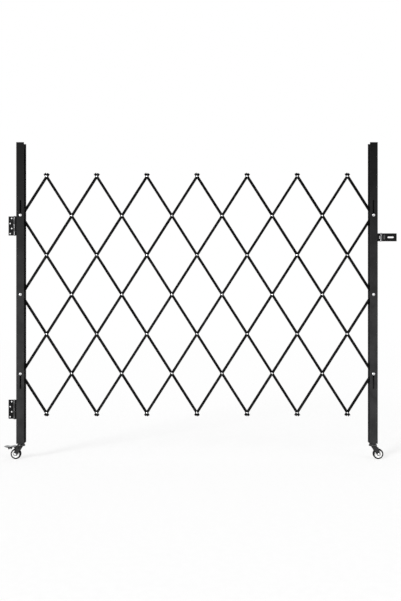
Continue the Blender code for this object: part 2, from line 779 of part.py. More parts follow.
def caster_stem(name, place):
    """Stem, collar, upper race and the kingpin that holds the fork, riveted as one piece."""
    head = CROWN_FOOT - RUNNING_GAP
    profile = [(0, FLOOR_CLEARANCE + STEM_TOP), (STEM_RADIUS, FLOOR_CLEARANCE + STEM_TOP)]
    profile += [(STEM_RADIUS, CUP_TOP + COLLAR_HEIGHT), (COLLAR_RADIUS, CUP_TOP + COLLAR_HEIGHT)]
    profile += [(COLLAR_RADIUS, CUP_TOP)]
    profile += [(CUP_RADIUS * r, CUP_TOP - CUP_DROP * h) for r, h in CUP_SHARES]
    profile += [(KINGPIN_RADIUS, CUP_FOOT), (KINGPIN_RADIUS, head), (KINGPIN_HEAD_RADIUS, head)]
    profile += [(KINGPIN_HEAD_RADIUS, head - KINGPIN_HEAD_HEIGHT), (0, head - KINGPIN_HEAD_HEIGHT)]
    return piece(name, turned(profile, CASTER_SIDES), "zinc_plate", place)


def stem_nut(name, place):
    low = FLOOR_CLEARANCE + BRACKET_WALL + SEAT_GAP
    bore = round_hole(0, 0, STEM_RADIUS + SEAT_GAP, BOLT_SIDES)
    mesh = prism([hexagon(STEM_NUT_FLATS), bore], low, low + STEM_NUT_HEIGHT)
    return piece(name, mesh, "zinc_plate", place)


def fork_arm_outline():
    """A leaning arm, broad at the crown and with a shoulder over the wheel, round at the axle."""
    axle, root = (TRAIL, WHEEL_RADIUS), CROWN_FOOT + CROWN_THICKNESS / 2
    front = (-ARM_FRONT, CROWN_FOOT)
    foot = (ARM_SHOULDER, CROWN_FOOT - SHOULDER_FOOT)
    start = tangent_angle(axle, ARM_END_RADIUS, front, 1)
    end = tangent_angle(axle, ARM_END_RADIUS, foot, -1)
    round_end = arc(*axle, ARM_END_RADIUS, start, end + 360, 3 * QUARTER_STEPS)
    shoulder = [foot, (ARM_SHOULDER, CROWN_FOOT - SHOULDER_TOP), (ARM_BACK, CROWN_FOOT)]
    return round_end + shoulder + [(ARM_BACK, root), (-ARM_FRONT, root), front]


def caster_fork(name, place, braked):
    """Crown and two arms of pressed steel; the braked one is bored for its pedal's pin."""
    hole = KINGPIN_RADIUS + RUNNING_GAP
    profile = [(hole, CROWN_TOP), (CROWN_RADIUS, CROWN_TOP), (CROWN_RADIUS, CROWN_FOOT)]
    profile += [(hole, CROWN_FOOT), (hole, CROWN_TOP)]
    fork = piece(name, turned(profile, CASTER_SIDES), "black_powder_coat", place)
    outlines = [fork_arm_outline()]
    outlines.append(round_hole(TRAIL, WHEEL_RADIUS, AXLE_RADIUS + SEAT_GAP, BOLT_SIDES))
    if braked:
        pin = (PEDAL_PIVOT_BACK, PEDAL_PIVOT_LEVEL, BRAKE_PIN_RADIUS + RUNNING_GAP)
        outlines.append(round_hole(*pin, BOLT_SIDES))
    fuse(fork, "front_arm", plate(outlines, -ARM_OUTER, -ARM_INNER))
    fuse(fork, "rear_arm", plate(outlines, ARM_INNER, ARM_OUTER))
    return fork


def wheel_hub(name, place):
    """A dished centre with a long boss that keeps the wheel clear of the fork."""
    rim = WHEEL_RADIUS - TYRE_THICKNESS - SEAT_GAP
    boss, face = HUB_LENGTH / 2, WHEEL_WIDTH / 2
    dish = face - HUB_DISH
    bore = AXLE_RADIUS + RUNNING_GAP
    half = [(bore, boss), (HUB_BOSS_RADIUS, boss), (HUB_BOSS_RADIUS, dish)]
    half += [(rim - HUB_RIM, dish), (rim - HUB_RIM, face), (rim, face)]
    profile = half + [(r, -y) for r, y in reversed(half)] + [half[0]]
    return piece(name, turned_to_front(profile, CASTER_SIDES), "pale_nylon", place)


def wheel_tyre(name, place):
    inner = WHEEL_RADIUS - TYRE_THICKNESS
    face = WHEEL_WIDTH / 2
    round_from = (WHEEL_RADIUS - TYRE_SHOULDER, face - TYRE_SHOULDER)
    shoulder = arc(*round_from, TYRE_SHOULDER, 90, 0, QUARTER_STEPS)
    half = [(inner, face)] + shoulder
    profile = half + [(r, -y) for r, y in reversed(half)] + [half[0]]
    return piece(name, turned_to_front(profile, CASTER_SIDES), "black_rubber", place)


def wheel_axle(name, place):
    """An axle bolt with a round head at the front and its lock nut behind."""
    end = ARM_OUTER + SEAT_GAP
    head = AXLE_HEAD_RADIUS
    profile = [(0, end + AXLE_HEAD_HEIGHT)]
    profile += [(head * r, end + AXLE_HEAD_HEIGHT * h) for r, h in BOLT_DOME_SHARES]
    profile += [(head, end), (AXLE_RADIUS, end), (AXLE_RADIUS, -end), (head, -end)]
    profile += [(head, -end - AXLE_HEAD_HEIGHT), (0, -end - AXLE_HEAD_HEIGHT)]
    return piece(name, turned_to_front(profile, BOLT_SIDES), "zinc_plate", place)


def tongue_point(share):
    """A point of the pedal's waved tongue, by its share of the way from root to tip."""
    wave = PEDAL_WAVE * math.sin(3 * math.pi * share)
    x = PEDAL_ROOT + (PEDAL_REACH - PEDAL_ROOT) * share
    return x, PEDAL_LEVEL + wave - PEDAL_DROOP * share**3


def curl_point(share):
    """A point of the curls pressed down from the tongue, which grip the tyre when it is trodden."""
    x = CURL_NEAR + (CURL_FAR - CURL_NEAR) * share
    z = tongue_point((x - PEDAL_ROOT) / (PEDAL_REACH - PEDAL_ROOT))[1]
    return x, z - CURL_DEPTH * (1 - math.cos(2 * math.pi * CURLS * share)) / 2


def cheek_outline():
    """A cheek, from its round end on the pin out to the tongue's root."""
    x, z = PEDAL_PIVOT_BACK, PEDAL_PIVOT_LEVEL
    near, far = [tongue_point(share) for share in CHEEK_SEAT_SHARES]
    foot = (PEDAL_ROOT + CHEEK_RADIUS, z - CHEEK_RADIUS)
    return arc(x, z, CHEEK_RADIUS, 90, 270, 2 * QUARTER_STEPS) + [foot, far, near]


def brake_pedal(place):
    """A sprung tongue out over the wheel, on two cheeks that pivot inside the fork."""
    back = Matrix.Translation((-PEDAL_PIVOT_BACK, 0, -PEDAL_PIVOT_LEVEL))
    steps = 6 * QUARTER_STEPS
    outline = strip_outline([tongue_point(i / steps) for i in range(steps + 1)], PEDAL_THICKNESS)
    tongue = plate([outline], -PEDAL_HALF_WIDTH, PEDAL_HALF_WIDTH)
    tongue.transform(back)
    pedal = piece("brake_pedal", tongue, "zinc_plate", place @ back.inverted())
    width = PEDAL_HALF_WIDTH
    plan = end_rounded(0, PEDAL_REACH, -width, width, width, 2 * QUARTER_STEPS)
    steps = 4 * CURLS * QUARTER_STEPS
    curls = strip_outline([curl_point(i / steps) for i in range(steps + 1)], CHEEK_THICKNESS)
    hole = round_hole(PEDAL_PIVOT_BACK, PEDAL_PIVOT_LEVEL, BRAKE_PIN_RADIUS + RUNNING_GAP, BOLT_SIDES)
    cheek = [cheek_outline(), hole]
    shapes = {
        "plan": (prism([plan], WHEEL_RADIUS, FLOOR_CLEARANCE), "INTERSECT"),
        "curls": (plate([curls], -CURL_HALF_WIDTH, CURL_HALF_WIDTH), "UNION"),
        "front_cheek": (plate(cheek, -CHEEK_OUTER, -CHEEK_INNER), "UNION"),
        "rear_cheek": (plate(cheek, CHEEK_INNER, CHEEK_OUTER), "UNION"),
    }
    for label, (shape, operation) in shapes.items():
        shape.transform(back)
        tool(pedal, label, shape, operation)
    return pedal


def brake_pin(place):
    end = ARM_OUTER + RUNNING_GAP
    head = BRAKE_PIN_RADIUS + BRAKE_PIN_HEAD
    profile = [(0, end + BRAKE_PIN_HEAD), (head, end + BRAKE_PIN_HEAD), (head, end)]
    profile += [(BRAKE_PIN_RADIUS, end), (BRAKE_PIN_RADIUS, -end), (head, -end)]
    profile += [(head, -end - BRAKE_PIN_HEAD), (0, -end - BRAKE_PIN_HEAD)]
    return piece("brake_pin", turned_to_front(profile, BOLT_SIDES), "zinc_plate", place)


def make_caster(label, column, post, braked):
    """Casters trail away from the lattice, on the left to -X and on the right to +X."""
    side = -1 if column == 0 else 1
    x = node_place(column, MIDDLE_ROW)[0] + side * SWIVEL_OFFSET
    turn = Matrix.Rotation(math.radians(180 if side < 0 else 0), 4, "Z")
    here = Matrix.Translation((x, 0, 0)) @ turn
    bracket = caster_bracket(f"caster_bracket_{label}", here)
    stem = caster_stem(f"caster_stem_{label}", here)
    nut = stem_nut(f"stem_nut_{label}", here)
    carry(post, bracket, stem, nut)
    fork = caster_fork(f"caster_fork_{label}", here, braked)
    carry(post, fork)
    axle_place = here @ Matrix.Translation((TRAIL, 0, WHEEL_RADIUS))
    hub = wheel_hub(f"wheel_hub_{label}", axle_place)
    carry(fork, hub, wheel_axle(f"axle_bolt_{label}", axle_place))
    carry(hub, wheel_tyre(f"wheel_tyre_{label}", axle_place))
    if braked:
        pedal = brake_pedal(here)
        carry(fork, pedal, brake_pin(pedal.matrix_world.copy()))


# The gate, from the hinges to the far post
swing_axis = axis_empty("gate_swing_axis", HINGE_AXIS_X, HINGE_AXIS_Y, MIDDLE_HEIGHT)
left_post = make_post("left_post", -1)
right_post = make_post("right_post", 1)
carry(swing_axis, left_post)
make_hinge("upper", UPPER_HINGE_LEVEL, left_post)
make_hinge("lower", LOWER_HINGE_LEVEL, left_post)
lattice = make_lattice()
carry(left_post, lattice[True, 3], lattice[False, -3])
carry(lattice[False, 11], right_post)
make_pivots((left_post, right_post), lattice)
make_hasp(right_post)
make_caster("left", 0, left_post, True)
make_caster("right", COLUMNS, right_post, False)

shading = shading_by_angle()
for part in PARTS.objects:
    if part.type == "MESH":
        part.modifiers.new("weld", "WELD").merge_threshold = WELD_DISTANCE
        part.modifiers.new("shading", "NODES").node_group = shading
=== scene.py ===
"""Looks of a folding security gate: coated posts and lattice, plated hinges and hasp, casters.

X runs along the gate, Y through it with the front at -Y, and Z up from the floor, in metres."""

import json
import math
from math import pi

import bmesh
import bpy
import numpy as np
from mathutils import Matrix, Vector
from mathutils.geometry import delaunay_2d_cdt


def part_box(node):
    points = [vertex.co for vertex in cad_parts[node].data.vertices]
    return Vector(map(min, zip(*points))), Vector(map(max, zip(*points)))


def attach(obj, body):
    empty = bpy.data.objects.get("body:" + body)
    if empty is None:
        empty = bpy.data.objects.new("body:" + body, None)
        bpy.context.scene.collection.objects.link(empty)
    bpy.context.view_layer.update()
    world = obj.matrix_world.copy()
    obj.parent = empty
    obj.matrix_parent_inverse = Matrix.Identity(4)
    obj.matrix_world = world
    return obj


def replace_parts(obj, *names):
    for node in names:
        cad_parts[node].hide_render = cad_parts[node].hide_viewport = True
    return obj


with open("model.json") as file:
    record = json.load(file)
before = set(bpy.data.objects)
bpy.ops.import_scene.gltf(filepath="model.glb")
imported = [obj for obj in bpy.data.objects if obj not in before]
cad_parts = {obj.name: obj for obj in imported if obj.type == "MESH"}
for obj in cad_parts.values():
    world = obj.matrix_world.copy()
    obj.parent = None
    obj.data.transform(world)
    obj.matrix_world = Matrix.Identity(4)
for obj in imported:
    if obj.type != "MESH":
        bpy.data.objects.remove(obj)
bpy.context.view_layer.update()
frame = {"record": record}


# Posts: each is a strip of 2 mm steel, punched with a round hole and two long slots for either
# flange, folded into a channel that is open towards the lattice, and powder coated black.
# Every piece of sheet on the gate is made the same way: a flat blank, punched and then folded.


def eased(corners, reach, steps=5, closed=True):
    """A line whose corners are eased. With A and B the points at its reach before and after a
    corner C, that corner becomes the curve (1-t)^2 A + 2t(1-t) C + t^2 B. A reach of 0 keeps it."""
    corners = np.asarray(corners, float)
    reach = np.array(np.broadcast_to(reach, len(corners)), float)
    if not closed:
        reach[[0, -1]] = 0
    sides = []
    for other in (np.roll(corners, 1, 0), np.roll(corners, -1, 0)):
        way = other - corners
        length = np.linalg.norm(way, axis=1)
        sides.append(corners + way * (np.minimum(reach, 0.49 * length) / length)[:, None])
    t = np.linspace(0, 1, steps + 1)[None, :, None]
    before, after = sides[0][:, None], sides[1][:, None]
    curve = (1 - t) ** 2 * before + 2 * t * (1 - t) * corners[:, None] + t * t * after
    points = curve.reshape(-1, 2)
    return points[np.linalg.norm(points - np.roll(points, 1, 0), axis=1) > 1e-8]


def on_circle(angle):
    """The points of a circle of radius 1 at some angles."""
    return np.column_stack((np.cos(angle), np.sin(angle)))


def all_round(steps):
    """The angles of so many even steps round a circle."""
    return 2 * pi * np.arange(steps) / steps


def long_hole(start, end, radius, steps=32):
    """A round-ended hole: half a circle about each end."""
    along = math.atan2(end[1] - start[1], end[0] - start[0])
    half = steps // 2
    round_end = radius * on_circle(along + pi * ((np.arange(half) + 0.5) / half - 0.5))
    return np.vstack((end + round_end, start - round_end))


def round_hole(centre, radius, steps=32):
    """A round hole."""
    return long_hole(centre, centre, radius, steps)


def set_in(loop, distance):
    """A loop whose sides all move to their left by the distance: each corner along its bisector."""
    ahead = np.roll(loop, -1, 0) - loop
    ahead /= np.linalg.norm(ahead, axis=1)[:, None]
    left = np.column_stack((-ahead[:, 1], ahead[:, 0]))
    behind = np.roll(left, 1, 0)
    return loop + distance * (left + behind) / (1 + (left * behind).sum(1)[:, None])


def split_at(loop, lines):
    """The loop with one more point wherever a side of it crosses a line of equal run."""
    run = np.roll(loop, -1, 0) - loop
    with np.errstate(divide="ignore", invalid="ignore"):
        share = (lines - loop[:, :1]) / run[:, :1]
    side, line = np.nonzero((share > 1e-6) & (share < 1 - 1e-6))
    share = share[side, line]
    added = loop[side] + share[:, None] * run[side]
    added[:, 0] = lines[line]
    order = np.argsort(np.concatenate((np.arange(len(loop)), side + share)), kind="stable")
    return np.vstack((loop, added))[order]


def follow(course, start, heading, run):
    """Where each run along the course lies, and the direction to its left. A leg of the course has
    a length and the angle that it turns through, so it is a straight line or an arc."""
    place, left = np.zeros((2, len(run), 2))
    corner, facing, before = np.array(start, float), heading, 0.0
    for number, (length, turn) in enumerate(course):
        last = number == len(course) - 1
        here = (run >= before if number else run < np.inf) & ((run < before + length) | last)
        gone = np.append(run[here] - before, length)
        angle = facing + turn * gone / length
        if turn:
            sweep = (np.sin(angle) - math.sin(facing), math.cos(facing) - np.cos(angle))
            leg = length / turn * np.column_stack(sweep)
        else:
            leg = np.outer(gone, (math.cos(facing), math.sin(facing)))
        place[here] = corner + leg[:-1]
        left[here] = np.column_stack((-np.sin(angle), np.cos(angle)))[:-1]
        corner, facing, before = corner + leg[-1], facing + turn, before + length
    return place, left


def run_of(course):
    """The length of a whole course."""
    return sum(length for length, _ in course)


def fold_lines(course, spacing=0.0006):
    """The runs at which a blank has a line across it, so that its bends come out round."""
    lines, before = [np.zeros(0)], 0.0
    for length, turn in course:
        if turn:
            steps = int(np.clip(round(length / spacing), 5, 48))
            lines.append(before + length * np.linspace(0, 1, steps + 1))
        before += length
    return np.unique(np.concatenate(lines).round(9))


def grid_faces(rows, columns, closed_rows=False):
    """The four-sided faces of a grid of points, whose columns close round, and rows by choice."""
    row = np.arange(rows if closed_rows else rows - 1)[:, None]
    column = np.arange(columns)
    below, after = (row + 1) % rows * columns, (column + 1) % columns
    row = row * columns
    corners = (row + column, row + after, below + after, below + column)
    return np.stack(corners, axis=-1).reshape(-1, 4)


def brought(local, origin, axes):
    """Points in a piece's own coordinates, brought along its axes from its origin."""
    return origin + np.reshape(local, (-1, 3)) @ axes


def inside(points, loops):
    """Whether each point has an odd number of the loops' sides to its right."""
    start = np.vstack(loops)
    end = np.vstack([np.roll(loop, -1, 0) for loop in loops])
    x, y = points[:, :1], points[:, 1:]
    spans = (start[:, 1] > y) != (end[:, 1] > y)
    with np.errstate(divide="ignore", invalid="ignore"):
        slope = (end[:, 0] - start[:, 0]) / (end[:, 1] - start[:, 1])
        right = x < start[:, 0] + (y - start[:, 1]) * slope
    return (spans & right).sum(1) % 2 == 1


def formed_sheet(loops, rim, thickness, course, start, heading, origin, axes):
    """A blank with punched holes, all its edges rounded by the rim's radius, folded along a course.
    Both faces are triangles between the loops, and quarter rounds join them. A point at run s,
    level z and depth w comes to the course's place at s, w to its left, and z along axis three."""
    lines = fold_lines(course)
    first, last = loops[0][:, 0].min() + 2 * rim, loops[0][:, 0].max() - 2 * rim
    lines = lines[(lines > first) & (lines < last)]
    loops = [split_at(loop, lines) for loop in loops]
    quarter = np.linspace(0, pi / 2, 4)
    inward = rim * (1 - np.sin(np.append(quarter, quarter[::-1])))
    depth = thickness / 2 - rim * (1 - np.cos(quarter))
    depth = np.append(-depth, depth[::-1])
    points, faces, flats, edges, count = [], [], [], [], 0
    for number, loop in enumerate(loops):
        side = -1 if number else 1
        for distance, level in zip(inward, depth):
            ring = set_in(loop, side * distance)
            points.append(np.column_stack((ring, np.full(len(loop), level))))
        faces.append(grid_faces(len(depth), len(loop)) + count)
        flats.append(set_in(loop, side * rim))
        around = np.arange(len(loop)) + count // len(depth)
        edges.append(np.column_stack((around, np.roll(around, -1))))
        count += len(depth) * len(loop)
    flat = np.vstack(flats)
    for line in lines:
        crossed = np.nonzero(np.abs(flat[:, 0] - line) < 1e-8)[0]
        crossed = crossed[np.argsort(flat[crossed, 1])]
        edges.append([(crossed[0], crossed[-1])])
    edges = [tuple(edge) for edge in np.vstack(edges).tolist()]
    result = delaunay_2d_cdt([Vector(p) for p in flat], edges, [], 0, 1e-7, False)
    corners, triangles = np.array([tuple(c) for c in result[0]]), np.array(result[2])
    kept = triangles[inside(corners[triangles].mean(1), flats)]
    for level in (-thickness / 2, thickness / 2):
        points.append(np.column_stack((corners, np.full(len(corners), level))))
        faces.append(kept + count)
        count += len(corners)
    points = np.vstack(points)
    place, left = follow(course, start, heading, points[:, 0])
    local = np.column_stack((place + points[:, 2:] * left, points[:, 1]))
    return brought(local, origin, axes), faces


def new_object(name, data):
    """An object in the scene."""
    made = bpy.data.objects.new(name, data)
    bpy.context.scene.collection.objects.link(made)
    return made


bodies = frame["record"]["behaviour"]["bodies"]
body_of_node = {node: body for body, nodes in bodies.items() for node in nodes}


def fix_on(node, name, shapes, finish, sharp=35):
    """A piece out of closed shapes, each its points and its faces, smooth except at its edges. It
    rides with a CAD node's body and carries its finish."""
    points, faces = np.zeros((0, 3)), []
    for own, blocks in shapes:
        faces += [face for block in blocks for face in (block + len(points)).tolist()]
        points = np.vstack((points, own))
    mesh = bpy.data.meshes.new(name)
    mesh.from_pydata(points, [], faces)
    shell = bmesh.new()
    shell.from_mesh(mesh)
    bmesh.ops.remove_doubles(shell, verts=shell.verts, dist=2e-6)
    bmesh.ops.recalc_face_normals(shell, faces=shell.faces)
    shell.to_mesh(mesh)
    shell.free()
    mesh.materials.append(finish)
    mesh.shade_smooth()
    mesh.set_sharp_from_angle(angle=math.radians(sharp))
    piece = new_object(name, mesh)
    piece.modifiers.new("flats_stay_flat", "WEIGHTED_NORMAL").keep_sharp = True
    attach(piece, body_of_node[node])
    return piece


def stand_for(node, name, shapes, finish, sharp=35):
    """Such a piece that stands for the CAD node as well."""
    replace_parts(fix_on(node, name, shapes, finish, sharp), node)


def add(where, kind, inputs=(), **settings):
    """A shader node in a tree or a socket's tree, with settings, and a value or a socket for each
    input."""
    tree = where.id_data
    made = tree.nodes.new("ShaderNode" + kind)
    for label, value in settings.items():
        setattr(made, label, value)
    for label, value in dict(inputs).items():
        if isinstance(value, bpy.types.NodeSocket):
            tree.links.new(value, made.inputs[label])
        else:
            made.inputs[label].default_value = value
    return made


def sum_of(first, second, operation="ADD", third=0.0):
    """Two values added, or worked on otherwise."""
    inputs = {0: first, 1: second, 2: third}
    return add(first, "Math", inputs, operation=operation).outputs[0]


def ramp(value, low, high, start=0.0, end=1.0):
    """A value's way from low to high, eased at both ends, as a way from start to end."""
    inputs = {"Value": value, "From Min": low, "From Max": high, "To Min": start, "To Max": end}
    return add(value, "MapRange", inputs, interpolation_type="SMOOTHSTEP").outputs[0]


def clouds(place, scale, detail=2.0, rough=0.5):
    """Soft noise between 0 and 1, with so many waves to a metre."""
    inputs = {"Vector": place, "Scale": scale, "Detail": detail, "Roughness": rough}
    return add(place, "TexNoise", inputs).outputs[0]


def blend(share, first, second):
    """Two colours mixed by a share."""
    first, second = ((*c, 1.0) if isinstance(c, tuple) else c for c in (first, second))
    return add(share, "Mix", {0: share, 6: first, 7: second}, data_type="RGBA").outputs[2]


def new_effect(name, label, value, results):
    """A node group that reads a place and a value, and gives shares or heights."""
    tree = bpy.data.node_groups.new(name, "ShaderNodeTree")
    tree.interface.new_socket("Place", in_out="INPUT", socket_type="NodeSocketVector")
    socket = tree.interface.new_socket(label, in_out="INPUT", socket_type="NodeSocketFloat")
    socket.default_value = value
    for label in results:
        tree.interface.new_socket(label, in_out="OUTPUT", socket_type="NodeSocketFloat")
    given, result = tree.nodes.new("NodeGroupInput"), tree.nodes.new("NodeGroupOutput")
    return tree, given.outputs, result.inputs


# The pebbling of baked powder: waves of about 2 mm with finer ones on them, and a cloudy tone
PEBBLES = 450.0
pebbling, given, result = new_effect("pebbling", "Fineness", PEBBLES, ("Height", "Tone"))
finer = clouds(given["Place"], sum_of(given["Fineness"], 3.7, "MULTIPLY"), 1.0)
coarse = clouds(given["Place"], given["Fineness"])
pebbling.links.new(sum_of(finer, 0.3, "MULTIPLY_ADD", coarse), result["Height"])
pebbling.links.new(clouds(given["Place"], 14.0, 5.0, 0.62), result["Tone"])

# Dust on what faces up, in patches
settling, given, result = new_effect("settled_dust", "Amount", 0.5, ("Dust",))
faces_up = add(settling, "NewGeometry").outputs["Normal"]
faces_up = add(settling, "SeparateXYZ", {0: faces_up}).outputs["Z"]
lying = sum_of(ramp(faces_up, 0.2, 0.95), clouds(given["Place"], 70.0, 5.0, 0.65), "MULTIPLY")
settling.links.new(sum_of(lying, given["Amount"], "MULTIPLY"), result["Dust"])


def new_finish(name, metallic, specular):
    """A material, its shader, and the place on its piece."""
    material = bpy.data.materials.new(name)
    material.use_nodes = True
    shader = material.node_tree.nodes["Principled BSDF"]
    shader.inputs["Metallic"].default_value = metallic
    shader.inputs["Specular IOR Level"].default_value = specular
    return material, shader, add(material.node_tree, "TexCoord").outputs["Object"]


def finished(material, shader, colour, rough, height, depth):
    """The material, fed with a colour, a roughness, and a bump by a height, which varies by about
    1, times a depth in metres."""
    bump = add(height, "Bump", {"Height": height, "Distance": depth, "Strength": 1.0}).outputs[0]
    for label, value in {"Base Color": colour, "Roughness": rough, "Normal": bump}.items():
        material.node_tree.links.new(value, shader.inputs[label])
    return material


# Levels and share of the painted shade that darkens the powder coat towards the gate's top
CHALKED, DEEP_BLACK, DEEPENING = 0.45, 1.65, 0.9
BLACK, PALE_DUST = (0.0, 0.0, 0.0), (0.19, 0.18, 0.165)


def powder_coat(name, dark, light, dusty, specular):
    """Baked black powder: two close greys in clouds, pebbled, and a little dust. It has painted
    shade that darkens it towards the gate's top and leaves it lighter towards the floor: a share
    of black is mixed in, which grows from 0 at a low level to its full share at a high level."""
    material, shader, place = new_finish(name, 0.0, specular)
    height = add(place, "SeparateXYZ", {"Vector": place}).outputs["Z"]
    # painted shade: a share of black that grows with height
    painted_top_shade = ramp(height, CHALKED, DEEP_BLACK, 0.0, DEEPENING)
    grain = add(place, "Group", {"Place": place, "Fineness": PEBBLES}, node_tree=pebbling).outputs
    dust = add(place, "Group", {"Place": place, "Amount": dusty}, node_tree=settling).outputs[0]
    coat = blend(ramp(grain["Tone"], 0.32, 0.68), dark, light)
    coat = blend(dust, blend(painted_top_shade, coat, BLACK), PALE_DUST)
    rough = sum_of(dust, 0.4, "MULTIPLY_ADD", ramp(grain["Tone"], 0.25, 0.75, 0.42, 0.54))
    return finished(material, shader, coat, rough, grain["Height"], 0.00006)


black_coat = powder_coat(
    "black_powder_coat", (0.021, 0.021, 0.0214), (0.034, 0.034, 0.0346), 0.2, 0.08
)

PITCH, LEAN, MIDDLE, COLUMNS, ROWS = 0.2255, math.radians(32.45), 0.793, 14, 6
COLUMN_STEP, ROW_STEP = PITCH * math.sin(LEAN), PITCH * math.cos(LEAN)
FOLDED_LEAN = math.radians(5)
SLOT_TRAVEL = 2 * PITCH * (math.cos(FOLDED_LEAN) - math.cos(LEAN))
POST_FOOT, POST_TOP, POST_DEPTH, POST_FLANGE = 0.077, 1.524, 0.04, 0.038
POST_WALL, POST_BEND, POST_RIM, POST_CORNER = 0.002, 0.0035, 0.0005, 0.001
PIVOT_INSET, PIVOT_HOLE, POST_SLOT = 0.021, 0.0038, 0.004
LEFT_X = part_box("left_post")[0][0] + PIVOT_INSET
RIGHT_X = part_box("right_post")[1][0] - PIVOT_INSET
ALONG, DEPTH, UP = np.eye(3)


def channel_course(width, depth, bend, wall):
    """Up one flange, round a quarter bend, along the web, round another, and down the second."""
    quarter = ((bend - wall / 2) * pi / 2, -pi / 2)
    flange = (depth - bend, 0)
    return [flange, quarter, (width - 2 * bend, 0), quarter, flange]


def box_loop(low, high):
    """The corners of a rectangle."""
    (x0, y0), (x1, y1) = low, high
    return [(x0, y0), (x1, y0), (x1, y1), (x0, y1)]


def make_post(node, pivot_x, outward):
    """A post whose flanges run back from its web towards the lattice."""
    course = channel_course(POST_DEPTH, POST_FLANGE, POST_BEND, POST_WALL)
    width = run_of(course)
    loops = [eased(box_loop((0, POST_FOOT), (width, POST_TOP)), POST_CORNER)]
    to_pivot, rise = POST_FLANGE - PIVOT_INSET, 2 * ROW_STEP
    for run in (to_pivot, width - to_pivot):
        loops.append(round_hole((run, MIDDLE), PIVOT_HOLE))
        for low in (MIDDLE + rise, MIDDLE - rise - SLOT_TRAVEL):
            loops.append(long_hole((run, low), (run, low + SLOT_TRAVEL), POST_SLOT))
    start, origin = ((POST_WALL - POST_DEPTH) / 2, -to_pivot), (pivot_x, 0, 0)
    axes = (DEPTH, outward * ALONG, UP)
    shape = formed_sheet(loops, POST_RIM, POST_WALL, course, start, pi / 2, origin, axes)
    stand_for(node, f"{node}_channel", [shape], black_coat)


make_post("left_post", LEFT_X, -1)
make_post("right_post", RIGHT_X, 1)


# Lattice: 10 falling bars at the front and 10 rising bars behind them, small channels of 1.5 mm
# steel that lie web to web, each punched at its crossings and coated before it is riveted.

# Painted shade: the posts' black powder made darker, for the shade in the bars' narrow channels
lattice_coat = powder_coat(
    "lattice_coat", (0.003, 0.003, 0.0031), (0.0075, 0.0075, 0.0076), 0.1, 0.06
)

BAR_WIDTH, BAR_DEPTH, BAR_WALL, BAR_BEND, BAR_END = 0.0127, 0.00635, 0.0015, 0.0021, 0.0165
BAR_RIM, BAR_CORNER, RIVET_HOLE, WEB_GAP = 0.0004, 0.0006, 0.0027, 0.0004


def crossings(rising, line):
    """Column and row of each pivot on a bar. Its line is column + row, or column - row if it
    falls."""
    row = np.arange(ROWS + 1)
    column = line - row if rising else line + row
    held = (column >= 0) & (column <= COLUMNS)
    return column[held], row[held]


def pivot_places(column, row):
    """Where pivots lie in X and Z: column steps from the left post, row steps from the middle."""
    return np.column_stack((LEFT_X + column * COLUMN_STEP, MIDDLE + (ROWS / 2 - row) * ROW_STEP))


def bar_name(rising, line):
    """A bar's node: its number from the left."""
    number = (line + 1) // 2 if rising else (line + ROWS + 1) // 2
    return f"{'rear' if rising else 'front'}_bar_{number:02d}"


def make_bar(rising, line):
    """A bar along the line of its pivots, its flanges out to the front or to the rear."""
    column, row = crossings(rising, line)
    places = pivot_places(column, row)
    lean = LEAN if rising else -LEAN
    upward = np.array((math.sin(lean), 0, math.cos(lean)))
    across = np.array((math.cos(lean), 0, -math.sin(lean)))
    levels = (places - places[0]) @ upward[[0, 2]]
    course = channel_course(BAR_WIDTH, BAR_DEPTH, BAR_BEND, BAR_WALL)
    width = run_of(course)
    ends = (0, levels.min() - BAR_END), (width, levels.max() + BAR_END)
    loops = [eased(box_loop(*ends), BAR_CORNER, 3)]
    for level, bolted in zip(levels, (column == 0) | (column == COLUMNS)):
        loops.append(round_hole((width / 2, level), PIVOT_HOLE if bolted else RIVET_HOLE, 24))
    start = ((BAR_WALL - BAR_WIDTH) / 2, -BAR_DEPTH - WEB_GAP / 2)
    axes = (across, (-1 if rising else 1) * DEPTH, upward)
    origin = (places[0][0], 0, places[0][1])
    shape = formed_sheet(loops, BAR_RIM, BAR_WALL, course, start, pi / 2, origin, axes)
    node = bar_name(rising, line)
    stand_for(node, f"{node}_channel", [shape], lattice_coat)


RISING, FALLING = range(1, 20, 2), range(-5, 14, 2)
for line in RISING:
    make_bar(True, line)
for line in FALLING:
    make_bar(False, line)


# Lattice rivets: one at each of the 46 crossings, zinc plated, its shank through both webs and a
# low domed head pressed up in each channel. The rear bar holds it tight, and the front bar turns.


def ringed(radius, height, sides, origin, axes, closed=True):
    """A surface by rings, with a radius r and a height h at each step of an angle a: r cos a and
    r sin a along the first two axes, and h along the third. The last ring may join the first."""
    angle = all_round(sides)
    local = np.broadcast_arrays(radius * np.cos(angle), radius * np.sin(angle), height)
    faces = grid_faces(len(radius), sides, closed)
    return brought(np.stack(local, axis=-1), origin, axes), [faces]


def turned(profile, origin, axes, sides=32, closed=False):
    """A profile of radius and height turned round. It ends on the axis or closes on itself."""
    profile = np.asarray(profile, float)
    return ringed(profile[:, :1], profile[:, 1:], sides, origin, axes, closed)


def dome(radius, height, seat, edge=0.12, steps=7):
    """A domed head from its crown down to its seat: a quarter ellipse on a low straight edge."""
    angle = np.linspace(pi / 2, 0, steps)
    low = edge * height
    crown = np.column_stack((radius * np.cos(angle), low + (height - low) * np.sin(angle)))
    crown[0, 0] = 0
    return np.vstack((crown, [(radius, 0)])) + (0, seat)


def zinc_plate(name, tone, spread, rough):
    """Bright zinc: a metal whose tone and gloss wander in clouds, with a fine grain."""
    material, shader, place = new_finish(name, 1.0, 0.5)
    stain = clouds(place, 160.0, 4.0, 0.6)
    colour = blend(ramp(stain, 0.35, 0.62), tuple(c * spread for c in tone), tone)
    grain = clouds(place, 2400.0, 2.0, 0.7)
    gloss = sum_of(stain, 0.35, "MULTIPLY_ADD", sum_of(grain, 0.12, "MULTIPLY"))
    gloss = ramp(gloss, 0.08, 0.42, rough - 0.1, rough + 0.1)
    return finished(material, shader, colour, gloss, grain, 0.00001)


